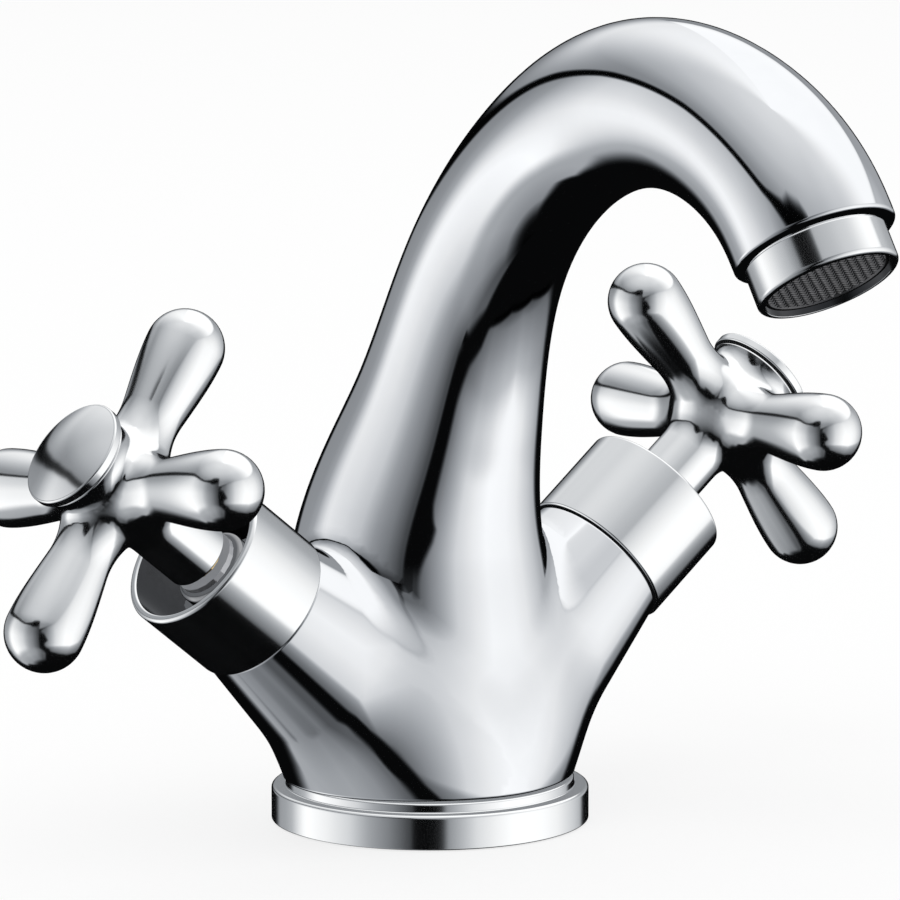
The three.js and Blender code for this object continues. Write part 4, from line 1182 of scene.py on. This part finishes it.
def dull_inside(piece: bpy.types.Object, frame: np.ndarray, bore: float, slack: float = 0.02) -> None:
    """Gives the inside of a turned piece a nearly black finish: unpolished metal, with the painted shade of
    its bore in the colour.

    Args:
        piece: The piece.
        frame: Its frame, whose Z axis is the axis of turning.
        bore: Radius of its inside.
        slack: How far outside that radius a face still counts.
    """
    piece.data.materials.append(Finishes.inside.build())
    for face in piece.data.polygons:
        middle = to_local(np.array(face.center) / MM, frame)
        if math.hypot(middle[0], middle[1]) < bore + slack:
            face.material_index = 1


def add_wire(surface: Surface, line: np.ndarray, radius: float, sides: int, matrix: np.ndarray) -> None:
    """Adds a round wire along a line.

    Args:
        surface: Where the faces go.
        line: Points of its middle.
        radius: Its radius.
        sides: Faces round it.
        matrix: Frame of the line.
    """
    run = unit(np.gradient(line, axis=0))
    aside = unit(np.cross(run, np.array([0.0, 0.0, 1.0])))
    up = np.cross(aside, run)
    angles = np.arange(sides) * 2 * math.pi / sides
    rings, looks = [], []
    for point, first, second in zip(line, aside, up):
        look = np.outer(np.cos(angles), first) + np.outer(np.sin(angles), second)
        rings.append(surface.add_points(placed(point + look * radius, matrix))[::-1])
        looks.append((look @ matrix[:3, :3].T)[::-1])
    for index in range(len(rings) - 1):
        surface.add_strip(rings[index], rings[index + 1], looks[index], looks[index + 1])


@dataclass
class Valve(SubAssembly):
    """Fixed part of a valve that shows: its sleeve and the headwork inside."""

    side: Side = Side.HOT
    frame: np.ndarray = field(default_factory=lambda: np.eye(4))
    body: str = FixedBody.MIXER.value
    arm_length: float = 46.9
    sleeve_radius: float = 14.1
    sleeve_wall: float = 1.4
    sleeve_length: float = 18.0
    sleeve_foot_edge: float = 0.35
    sleeve_end_edge: float = 0.6
    flange: float = 1.4
    flange_edge: float = 0.3
    flange_bore: float = 10.2
    thread_radius: float = 9.9
    thread_edge: float = 0.2
    thread_show: float = 1.0
    hex_foot: float = 48.9
    hex_radius: float = 11.4
    hex_height: float = 5.5
    hex_edge: float = 0.6
    hex_bevel: float = 0.7
    nose_radius: float = 7.0
    nose_height: float = 6.0
    nose_edge: float = 0.8
    stem_bore: float = 4.3
    stem_edge: float = 0.3
    shoulder: float = 6.0
    facets: int = 144
    headwork_facets: int = 96

    def build(self) -> None:
        """Makes the sleeve and the headwork."""
        self.build_sleeve()
        self.build_headwork()

    def build_sleeve(self) -> None:
        """Makes the open sleeve over the headwork."""
        foot, end = self.arm_length + FIT, self.arm_length + self.sleeve_length
        bore = self.sleeve_radius - self.sleeve_wall
        bends = profile([
            (self.flange_bore, foot, BREAK), (self.sleeve_radius, foot, self.sleeve_foot_edge),
            (self.sleeve_radius, end, self.sleeve_end_edge), (bore, end, self.sleeve_foot_edge),
            (bore, foot + self.flange, self.flange_edge), (self.flange_bore, foot + self.flange, BREAK),
        ])
        surface = Surface()
        surface.add_turned(bends, self.facets, self.frame)
        sleeve = surface.to_object(f"{self.side.label}_sleeve", Finishes.trim.build())
        # The sleeve's inner wall gets the nearly black finish with painted shade.
        dull_inside(sleeve, self.frame, bore)
        self.place(sleeve, Finishes.trim, f"{self.side.label}_shroud")

    def build_headwork(self) -> None:
        """Makes the headwork, with its hexagon and nose."""
        low, hex_top = self.hex_foot - self.shoulder, self.hex_foot + self.hex_height
        thread_top, nose_top = self.hex_foot + self.thread_show, hex_top + self.nose_height
        bends = profile([
            (self.stem_bore, low, 0), (self.thread_radius, low, self.thread_edge),
            (self.thread_radius, thread_top, 0), (self.nose_radius, thread_top, 0),
            (self.nose_radius, nose_top, self.nose_edge), (self.stem_bore, nose_top, self.stem_edge),
        ])
        surface = Surface()
        surface.add_turned(bends, self.headwork_facets, self.frame)
        angles = np.arange(6) * math.pi / 3
        outline = np.column_stack([np.cos(angles), np.sin(angles)])
        step = hex_top - self.hex_edge
        surface.add_prism(outline * self.hex_radius, self.hex_foot, step, self.frame)
        surface.add_prism(outline * (self.hex_radius - self.hex_bevel), step, hex_top, self.frame)
        # Dark grey finish carrying the painted shade of the sleeve's mouth.
        headwork = surface.to_object(f"{self.side.label}_headwork", Finishes.plated.build())
        self.place(headwork, Finishes.plated, f"{self.side.label}_bonnet")


@dataclass
class Handle(SubAssembly):
    """Cross handle with its bell and plain cap."""

    side: Side = Side.HOT
    frame: np.ndarray = field(default_factory=lambda: np.eye(4))
    body: str = ""
    reach: float = 28.4
    bulb_radius: float = 7.0
    neck_radius: float = 4.8
    neck_start: float = 6.0
    hub_radius: float = 9.4
    hub_half_height: float = 7.6
    arms_blend: float = 2.5
    web_blend: float = 6.0
    bell_height: float = 9.5
    bell_foot: float = 7.2
    bell_rim: float = 9.6
    bell_start: float = 2.0
    bell_blend: float = 2.5
    flare_share: float = 2.2
    barrel_radius: float = 6.2
    barrel_blend: float = 3.5
    barrel_drop: float = 21.5
    bell_overrun: float = 2.0
    barrel_overrun: float = 4.0
    end_reach: float = 12.0
    end_depth: float = 3.0
    lead_radius: float = 4.6
    lead_depth: float = 4.6
    socket_radius: float = 4.2
    socket_roof: float = -4.1
    recess_radius: float = 6.8
    recess_drop: float = 1.9
    edge: float = 0.45
    cap_radius: float = 9.85
    cap_rim: float = 1.6
    cap_dome: float = 2.0
    cap_edge: float = 0.35
    plug_radius: float = 6.4
    plug_length: float = 6.0
    plug_edge: float = 0.3
    plug_groove: tuple = (5.0, 0.95)
    cap_foot_edge: float = 0.25
    cap_facets: int = 128
    cell: float = 0.8
    quick_factor: float = 1.8

    def form(self, points: np.ndarray) -> np.ndarray:
        """Distance to the handle before its ends are faced."""
        x, y, z = points.T
        arms = blended(self.arm_form(np.abs(x), y, z), self.arm_form(np.abs(y), x, z), self.arms_blend)
        around = np.hypot(x, y)
        hub = (np.hypot(around / self.hub_radius, z / self.hub_half_height) - 1) * self.hub_half_height
        opened = np.clip((z + self.bell_start / 2) / (self.bell_height + self.bell_start / 2), 0, 1)
        flare = self.bell_foot + (self.bell_rim - self.bell_foot) * opened ** self.flare_share
        bell_top = self.bell_height + self.bell_overrun
        bell = np.maximum(np.maximum(around - flare, z - bell_top), -z - self.bell_start)
        barrel = np.maximum(np.maximum(around - self.barrel_radius, z - self.bell_start),
                            -self.barrel_drop - self.barrel_overrun - z)
        cross = blended(arms, hub, self.web_blend)
        return blended(blended(cross, bell, self.bell_blend), barrel, self.barrel_blend) + SKIN_INSET

    def arm_form(self, out: np.ndarray, aside: np.ndarray, z: np.ndarray) -> np.ndarray:
        """Distance to a pair of opposite arms.

        Args:
            out: Distance along the arms.
            aside: Distance across them.
            z: Height.

        Returns:
            One distance for each place.
        """
        away = np.hypot(aside, z)
        way = np.clip((out - self.neck_start) / (self.reach - self.neck_start), 0, 1)
        girth = between(self.neck_radius, self.bulb_radius, smooth_step(out, self.neck_start, self.reach))
        offset = out - self.neck_start - way * (self.reach - self.neck_start)
        neck = np.hypot(offset, away) - girth
        bulb = np.hypot(out - self.reach, away) - self.bulb_radius
        return np.minimum(neck, bulb)

    def build(self) -> None:
        """Makes the handle and its cap."""
        cell = self.cell
        room = self.reach + self.bulb_radius
        points, faces = skin(self.form, [-room, -room, -self.barrel_drop - self.barrel_overrun],
                             [room, room, self.bell_height + self.bell_overrun], cell)
        cuts = [Cut(np.eye(4), self.bell_height - self.edge, self.end_reach, self.end_depth),
                Cut(rotation(0, math.pi), self.barrel_drop - self.edge, self.end_reach, self.end_depth)]
        surface = Surface()
        add_cut_skin(surface, self.form, points, faces, cuts, self.rims(), self.frame)
        cross = surface.to_object(f"{self.side.label}_cross_handle", Finishes.handle.build())
        self.place(cross, Finishes.handle, f"{self.side.label}_handle")
        self.build_cap()

    def rims(self) -> list[list[Bend]]:
        """Profiles that close the bell, with the cap's recess, and the barrel, with the spindle's socket."""
        bell, barrel = self.bell_height, self.barrel_drop
        recess, lead, roof = -self.recess_drop, barrel - self.lead_depth, -self.socket_roof
        return [
            end_profile(self.bell_rim, bell, self.edge, [
                (self.recess_radius, bell), (self.recess_radius, recess), (0.0, recess)]),
            end_profile(self.barrel_radius, barrel, self.edge, [
                (self.lead_radius, barrel), (self.lead_radius, lead), (self.socket_radius, lead),
                (self.socket_radius, roof), (0.0, roof)]),
        ]

    def build_cap(self) -> None:
        """Makes the plain cap on the bell."""
        foot = self.bell_height + FIT
        rim = foot + self.cap_rim
        groove, half = self.plug_groove
        low, middle = foot - self.plug_length, foot - self.plug_length / 2
        edge = self.cap_edge
        bends = profile([
            (0, low, 0), (self.plug_radius, low, self.plug_edge), (self.plug_radius, middle - half, BREAK),
            (groove, middle - half, 0), (groove, middle + half, 0), (self.plug_radius, middle + half, BREAK),
            (self.plug_radius, foot, 0), (self.cap_radius, foot, self.cap_foot_edge),
            (self.cap_radius, rim, edge), (self.cap_radius - 2 * edge, rim, 0),
        ], closed=False)
        bends = bends[:-1] + domed(self.cap_radius - edge, rim, self.cap_dome)
        surface = Surface()
        surface.add_turned(bends, self.cap_facets, self.frame)
        cap = surface.to_object(f"{self.side.label}_index_cap", Finishes.handle.build())
        self.place(cap, Finishes.handle, f"{self.side.label}_cap")


@dataclass
class HiddenWorks:
    """CAD nodes inside the mixer, which keep their shape and get their finishes."""

    by_ending: dict = field(default_factory=lambda: {
        "base_ring": Finishes.trim, "seal": Finishes.rubber, "_ring": Finishes.rubber,
        "ring_lower": Finishes.rubber, "ring_upper": Finishes.rubber, "disc": Finishes.ceramic,
        "washer": Finishes.plastic, "sleeve": Finishes.plastic, "plate": Finishes.plastic,
        "spindle": Finishes.brass, "screw": Finishes.steel, "clip": Finishes.steel, "screen": Finishes.mesh,
        "bonnet": Finishes.plated, "handle": Finishes.handle, "cap": Finishes.handle,
        "shroud": Finishes.trim, "housing": Finishes.trim, "casting": Finishes.casting,
    })

    def dress(self, nodes: dict[str, bpy.types.Object]) -> None:
        """Gives every CAD node the finish that its name calls for.

        Args:
            nodes: CAD nodes by name.
        """
        for name, node in sorted(nodes.items()):
            finish = next(finish for ending, finish in self.by_ending.items() if name.endswith(ending))
            finish.dress(node)
            node.visible_glossy = False
            LOG.info("%s: %s", name, finish.name)


# Studio


@dataclass
class PhotoCamera:
    """Camera at the photograph's viewing angle."""

    azimuth: float = math.radians(-36.86)
    distance: float = 1.1534
    height: float = 0.2539
    yaw: float = math.radians(-0.175)
    pitch: float = math.radians(-9.277)
    focal_pixels: float = 6673.0
    frame_pixels: float = 900.0
    sensor: float = 36.0

    def build(self) -> bpy.types.Object:
        """Makes the camera and sets it as the scene's.

        Returns:
            The camera.
        """
        data = bpy.data.cameras.new("photo_camera")
        data.sensor_width = self.sensor
        data.lens = self.sensor * self.focal_pixels / self.frame_pixels
        data.clip_start, data.clip_end = 0.05, 50.0
        camera = bpy.data.objects.new("photo_camera", data)
        camera.location = (self.distance * math.sin(self.azimuth), -self.distance * math.cos(self.azimuth),
                           self.height)
        turn = self.azimuth + self.yaw
        look = Vector((-math.sin(turn) * math.cos(self.pitch), math.cos(turn) * math.cos(self.pitch),
                       math.sin(self.pitch)))
        camera.rotation_mode = "QUATERNION"
        camera.rotation_quaternion = look.to_track_quat("-Z", "Y")
        bpy.context.scene.collection.objects.link(camera)
        bpy.context.scene.camera = camera
        return camera


@dataclass(frozen=True)
class Stops:
    """Values that run straight from one angle to the next, in degrees."""

    angles: tuple
    values: tuple

    def at(self, angle: np.ndarray) -> np.ndarray:
        """Values at angles."""
        return np.interp(angle, self.angles, self.values)


@dataclass
class ReflectorTent:
    """White cloth tent that only mirrors see: walls, ceiling, dark seams and a dark table.

    Angles are in degrees, seen from the mixer. Bearing 0 is towards the camera, and a positive
    bearing lies on the right of the picture. A negative rise is below level.
    """

    camera_azimuth: float = -36.86
    radius: float = 5.0
    centre_height: float = 0.06
    reflectance: float = 0.8
    black: float = 0.03
    cool: Colour = (0.90, 0.955, 1.03)
    columns: int = 480
    rows: int = 240
    left_wall: Stops = Stops((-180, -150, -130, -120, -112, -105, -100, -80, -60, -45, -30, -20, -16),
                             (0.55, 0.58, 0.62, 0.69, 0.85, 0.97, 1.0, 0.93, 0.82, 0.63, 0.5, 0.36, 0.28))
    right_wall: Stops = Stops((4, 12, 22, 34, 50, 65, 90, 106, 115, 128, 140, 180),
                              (0.42, 0.55, 0.68, 0.84, 0.93, 0.99, 0.97, 0.92, 0.86, 0.78, 0.68, 0.55))
    left_fall: Stops = Stops((-30, -5, 2, 10, 28), (1.0, 0.97, 0.93, 0.87, 0.78))
    right_fall: Stops = Stops((-27, -5, 10, 20, 30), (1.0, 0.99, 0.96, 0.92, 0.86))
    right_foot_fall: Stops = Stops((-54, -49, -45, -37, -31, -27.5), (0.2, 0.35, 0.5, 0.63, 0.76, 1.0))
    ceiling_left: Stops = Stops((20, 33, 42, 55, 75, 90), (0.5, 0.54, 0.66, 0.76, 0.84, 0.87))
    ceiling_right: Stops = Stops((20, 30, 45, 60, 90), (0.78, 0.74, 0.77, 0.84, 0.87))
    left_seam: Stops = Stops((-180, -165, -150, -130, -110, -90, -60, -40, -20, 0),
                             (-5, 2, 8, 17, 24, 28, 27.5, 30.5, 34, 38))
    right_seam: Stops = Stops((-12, 0, 15, 40, 75, 110, 180), (14, 22, 28, 32, 30, 27, 20))
    right_seam_depth: Stops = Stops((-12, 0, 12, 40), (0.97, 0.5, 0.16, 0.03))
    seam_width: Stops = Stops((-180, -150, -55, -40, -33, -20, -12, 0, 180),
                              (4.0, 2.6, 2.0, 4.0, 7.5, 7.5, 5.0, 1.8, 1.5))
    wall_foot: Stops = Stops((-180, -150, -130, -100, -60, -30, 0, 20, 60, 100, 130, 150, 180),
                             (-20, -30, -40, -42, -38, -33, -35, -46, -53, -49, -36, -30, -18))
    table_left: Stops = Stops((-82, -78, -74, -68, -50, -36), (0.03, 0.1, 0.28, 0.54, 0.65, 0.66))
    table_shade: Stops = Stops((-60, -29, -17, -8), (1.0, 0.86, 0.7, 0.55))
    corner_left: Stops = Stops((-62, -50, -45, -40, -35, -30, 0), (12, 8, 1, -4, -9, -12.5, -13))
    corner_right: Stops = Stops((-50, -44, -38, -35, -32, -29, -26, -19, -16, -14, -9, 0, 8),
                                (30, 22, 18, 13, 7, 4.5, 2.0, 3.0, 7, 11, 10, 5, 1))
    corner_soft: Stops = Stops((-45, -34, -26), (6.0, 4.5, 1.5))
    rear_left: Stops = Stops((-90, -75, -66, -60, -55, -48, -42, -30, -15, -5, 5, 12),
                             (-90, -98, -108, -114, -132, -130, -124, -124, -138, -147, -160, -182))
    rear_right: Stops = Stops((-60, -45, -30, -15, -5, 5, 12), (100, 118, 130, 138, 146, 160, 182))
    rear_left_soft: Stops = Stops((-66, -60, -55, -48, -42, -30, -15, -5), (20, 16, 10, 16, 22, 22, 14, 10))
    rear_right_soft: float = 10.0
    rear_top: Pair = (4, 12)
    wall_split: float = -4.0
    seam_split: float = -12.0
    foot_tilt: float = 0.25
    foot_tilt_start: float = 85.0
    foot_tilt_span: float = 60.0
    ceiling_turn: Pair = (10, 60)
    rear_light_right: float = 0.92
    rear_turn_right: Pair = (50, 105)
    rear_light_left: float = 0.8
    rear_turn_left: Pair = (105, 170)
    rear_light_rise: Pair = (8, 30)
    table_turn: Pair = (2, 10)
    corner_edge: float = 3.0
    corner_top: Pair = (3, 14)
    seam_edge: float = 1.0
    left_seam_depth: float = 0.97
    seam_core_share: float = 0.55
    seam_rim_share: float = 1.5
    left_foot_soft: float = 7.0
    right_foot_soft: float = 1.2
    foot_line: float = 0.95
    foot_line_width: Pair = (0.8, 2.6)
    pole_gap: float = 0.02

    def walls(self, bearing: np.ndarray, rise: np.ndarray) -> np.ndarray:
        """Tone of the walls on both sides."""
        left = self.left_wall.at(bearing) * self.left_fall.at(rise)
        drop = self.foot_tilt * np.clip(bearing - self.foot_tilt_start, 0, self.foot_tilt_span)
        right = self.right_wall.at(bearing) * self.right_fall.at(rise) * self.right_foot_fall.at(rise - drop)
        return np.where(bearing < self.wall_split, left, right)

    def ceiling(self, bearing: np.ndarray, rise: np.ndarray) -> np.ndarray:
        """Tone of the ceiling, which is white at the rear."""
        turn = smooth_step(bearing, *self.ceiling_turn)
        tone = between(self.ceiling_left.at(rise), self.ceiling_right.at(rise), turn)
        right = self.rear_light_right * smooth_step(bearing, *self.rear_turn_right)
        left = self.rear_light_left * smooth_step(-bearing, *self.rear_turn_left)
        return between(tone, 1.0, np.maximum(right, left) * smooth_step(rise, *self.rear_light_rise))

    def table(self, bearing: np.ndarray, rise: np.ndarray) -> np.ndarray:
        """Tone of the table, which is grey on the left and black on the right and right below."""
        grey = self.table_left.at(rise) * self.table_shade.at(bearing)
        return between(grey, self.black, smooth_step(bearing, *self.table_turn))

    def corner(self, bearing: np.ndarray, rise: np.ndarray) -> np.ndarray:
        """Share of the dark corner that stands by the camera and widens downwards."""
        start, end = self.corner_left.at(rise), self.corner_right.at(rise)
        soft, edge = self.corner_soft.at(rise), self.corner_edge
        begun = smooth_step(bearing, start - soft, start + soft)
        ended = smooth_step(bearing, end - edge, end + edge)
        return begun * (1 - ended) * (1 - smooth_step(rise, *self.corner_top))

    def rear(self, bearing: np.ndarray, rise: np.ndarray) -> np.ndarray:
        """Share of the dark gap behind the mixer, which draws a dark outline round it."""
        right = smooth_step(bearing - self.rear_right.at(rise), 0, self.rear_right_soft)
        left = smooth_step(self.rear_left.at(rise) - bearing, 0, self.rear_left_soft.at(rise))
        return np.maximum(left, right) * (1 - smooth_step(rise, *self.rear_top))

    def tone(self, bearing: np.ndarray, rise: np.ndarray) -> np.ndarray:
        """Tone of the tent by direction, as the picture shows it.

        Args:
            bearing: Angle from the camera.
            rise: Angle above level.

        Returns:
            Tones from 0, black, to 1, white.
        """
        left = bearing < self.seam_split
        top = np.where(left, self.left_seam.at(bearing), self.right_seam.at(bearing))
        over = smooth_step(rise, top - self.seam_edge, top + self.seam_edge)
        tone = between(self.walls(bearing, rise), self.ceiling(bearing, rise), over)
        width = self.seam_width.at(bearing)
        depth = np.where(left, self.left_seam_depth, self.right_seam_depth.at(bearing))
        clear = smooth_step(np.abs(rise - top), width * self.seam_core_share, width * self.seam_rim_share)
        tone = tone * (1 - depth * (1 - clear))
        foot = self.wall_foot.at(bearing)
        soft = np.where(left, self.left_foot_soft, self.right_foot_soft)
        tone = between(self.table(bearing, rise), tone, smooth_step((rise - foot) / soft, -1, 1))
        line = np.where(left, 0.0, self.foot_line)
        tone = tone * (1 - line * (1 - smooth_step(np.abs(rise - foot), *self.foot_line_width)))
        tone = between(tone, self.black, self.corner(bearing, rise))
        return between(tone, self.black, self.rear(bearing, rise))

    def build(self) -> bpy.types.Object:
        """Makes the tent, seen by mirrors only.

        Returns:
            The tent.
        """
        bearing = np.linspace(-180, 180, self.columns + 1)[:-1]
        rise = np.linspace(self.pole_gap - 90, 90 - self.pole_gap, self.rows + 1)
        grid_bearing, grid_rise = np.meshgrid(bearing, rise, indexing="ij")
        azimuth = np.radians(self.camera_azimuth + grid_bearing)
        lift = np.radians(grid_rise)
        points = np.stack([np.sin(azimuth) * np.cos(lift), -np.cos(azimuth) * np.cos(lift), np.sin(lift)], -1)
        points = points.reshape(-1, 3) * self.radius + np.array([0, 0, self.centre_height])
        number = np.arange(len(points)).reshape(self.columns, self.rows + 1)
        here, there = number, np.roll(number, -1, axis=0)
        faces = np.stack([here[:, :-1], here[:, 1:], there[:, 1:], there[:, :-1]], -1).reshape(-1, 4)
        mesh = bpy.data.meshes.new("reflector_tent")
        mesh.from_pydata(points.tolist(), [], faces.tolist())
        tone = self.tone(grid_bearing, grid_rise).ravel()
        glow = mesh.attributes.new("glow", "FLOAT", "POINT")
        glow.data.foreach_set("value", (linear(tone) / self.reflectance).astype(np.float32))
        mesh.materials.append(self.cloth())
        tent = bpy.data.objects.new("reflector_tent", mesh)
        bpy.context.scene.collection.objects.link(tent)
        seen_by_mirrors_only(tent)
        return tent

    def cloth(self) -> bpy.types.Material:
        """Makes the tent's cloth, cool where it is grey, which shines as bright as it is painted."""
        material = bpy.data.materials.new("tent_cloth")
        material.use_nodes = True
        tree = material.node_tree
        tree.nodes.clear()
        glow = add_node(tree, "ShaderNodeAttribute", attribute_name="glow")
        tint = add_node(tree, "ShaderNodeMix", data_type="RGBA")
        tint.inputs["A"].default_value = (*self.cool, 1.0)
        tint.inputs["B"].default_value = (1.0, 1.0, 1.0, 1.0)
        light = add_node(tree, "ShaderNodeEmission")
        target = add_node(tree, "ShaderNodeOutputMaterial")
        link = tree.links.new
        link(glow.outputs["Fac"], tint.inputs["Factor"])
        link(tint.outputs["Result"], light.inputs["Color"])
        link(glow.outputs["Fac"], light.inputs["Strength"])
        link(light.outputs[0], target.inputs["Surface"])
        material.cycles.emission_sampling = "NONE"
        return material


def linear(tone: np.ndarray) -> np.ndarray:
    """Light that a screen shows as a tone."""
    return np.where(tone <= 0.04045, tone / 12.92, ((tone + 0.055) / 1.055) ** 2.4)


def seen_by_mirrors_only(piece: bpy.types.Object) -> None:
    """Makes a stage piece that shows in reflections and nowhere else."""
    piece.visible_camera = False
    piece.visible_diffuse = False
    piece.visible_shadow = False
    piece.visible_transmission = False
    piece.visible_volume_scatter = False


@dataclass
class Studio:
    """Plain pale floor, soft lamps and a white background."""

    floor_size: float = 24.0
    floor_tone: float = 0.93
    floor_veil: float = 0.72
    floor_roughness: float = 0.9
    floor_drop: float = 0.0002
    world_strength: float = 0.75
    lamp_energy: float = 9.0
    lamp_size: float = 1.6
    lamps: tuple = (((-1.2, -0.6, 1.5), 1.0), ((1.3, -0.9, 1.3), 0.8), ((0.2, 1.2, 1.7), 0.7))

    def build(self) -> None:
        """Makes the floor, the lamps and the world."""
        self.build_floor()
        for number, (place, share) in enumerate(self.lamps):
            data = bpy.data.lights.new(f"soft_lamp_{number}", "AREA")
            data.size = self.lamp_size
            data.energy = self.lamp_energy * share
            lamp = bpy.data.objects.new(f"soft_lamp_{number}", data)
            lamp.location = place
            lamp.rotation_mode = "QUATERNION"
            lamp.rotation_quaternion = (-Vector(place)).to_track_quat("-Z", "Y")
            lamp.visible_glossy = False
            bpy.context.scene.collection.objects.link(lamp)
        self.build_world()

    def seen(self, tree: bpy.types.NodeTree) -> bpy.types.NodeSocket:
        """1 for rays from the camera, a mirror or glass."""
        path = add_node(tree, "ShaderNodeLightPath")
        first = add_node(tree, "ShaderNodeMath", operation="MAXIMUM")
        second = add_node(tree, "ShaderNodeMath", operation="MAXIMUM")
        tree.links.new(path.outputs["Is Camera Ray"], first.inputs[0])
        tree.links.new(path.outputs["Is Glossy Ray"], first.inputs[1])
        tree.links.new(first.outputs[0], second.inputs[0])
        tree.links.new(path.outputs["Is Transmission Ray"], second.inputs[1])
        return second.outputs[0]

    def build_floor(self) -> bpy.types.Object:
        """Makes the pale floor, which shows the mixer's shadow.

        Returns:
            The floor.
        """
        half = self.floor_size / 2
        mesh = bpy.data.meshes.new("pale_floor")
        corners = [(-half, -half, 0), (half, -half, 0), (half, half, 0), (-half, half, 0)]
        mesh.from_pydata(corners, [], [(0, 1, 2, 3)])
        material = bpy.data.materials.new("pale_floor")
        material.use_nodes = True
        tree = material.node_tree
        shader = tree.nodes["Principled BSDF"]
        shader.inputs["Base Color"].default_value = (self.floor_tone, self.floor_tone, self.floor_tone, 1)
        shader.inputs["Roughness"].default_value = self.floor_roughness
        shader.inputs["Specular IOR Level"].default_value = 0.0
        light = add_node(tree, "ShaderNodeEmission")
        veil = add_node(tree, "ShaderNodeMath", operation="MULTIPLY")
        veil.inputs[1].default_value = self.floor_veil
        mix = add_node(tree, "ShaderNodeMixShader")
        link = tree.links.new
        link(self.seen(tree), veil.inputs[0])
        link(veil.outputs[0], mix.inputs[0])
        link(shader.outputs[0], mix.inputs[1])
        link(light.outputs[0], mix.inputs[2])
        link(mix.outputs[0], tree.nodes["Material Output"].inputs["Surface"])
        material.cycles.emission_sampling = "NONE"
        mesh.materials.append(material)
        floor = bpy.data.objects.new("pale_floor", mesh)
        floor.location = (0, 0, -self.floor_drop)
        floor.visible_glossy = False
        bpy.context.scene.collection.objects.link(floor)
        return floor

    def build_world(self) -> None:
        """Makes the white surroundings."""
        world = bpy.data.worlds.new("white_room")
        bpy.context.scene.world = world
        world.use_nodes = True
        tree = world.node_tree
        tree.nodes.clear()
        soft = add_node(tree, "ShaderNodeBackground")
        soft.inputs["Strength"].default_value = self.world_strength
        white = add_node(tree, "ShaderNodeBackground")
        for shade in (soft, white):
            shade.inputs["Color"].default_value = (1.0, 1.0, 1.0, 1.0)
        mix = add_node(tree, "ShaderNodeMixShader")
        target = add_node(tree, "ShaderNodeOutputWorld")
        link = tree.links.new
        link(self.seen(tree), mix.inputs[0])
        link(soft.outputs[0], mix.inputs[1])
        link(white.outputs[0], mix.inputs[2])
        link(mix.outputs[0], target.inputs["Surface"])


def main() -> None:
    """Builds the mixer's looks and the studio."""
    logging.basicConfig(level=logging.INFO, format="%(name)s %(message)s")
    bpy.context.scene.view_settings.view_transform = "Standard"
    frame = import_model()
    PhotoCamera().build()
    Studio().build()
    ReflectorTent().build()
    HiddenWorks().dress(frame["nodes"])
    casting = Casting()
    casting.build()
    BaseRing().build()
    Aerator(frame=casting.outlet_frame()).build()
    for side in Side:
        axis = casting.valve_frame(side)
        Valve(side=side, frame=axis).build()
        middle = axis @ rotation(2, side.rest_turn) @ translation(0, 0, casting.arm_length + HANDLE_LIFT)
        Handle(side=side, body=side.body, frame=middle).build()


if __name__ == "__main__":
    main()
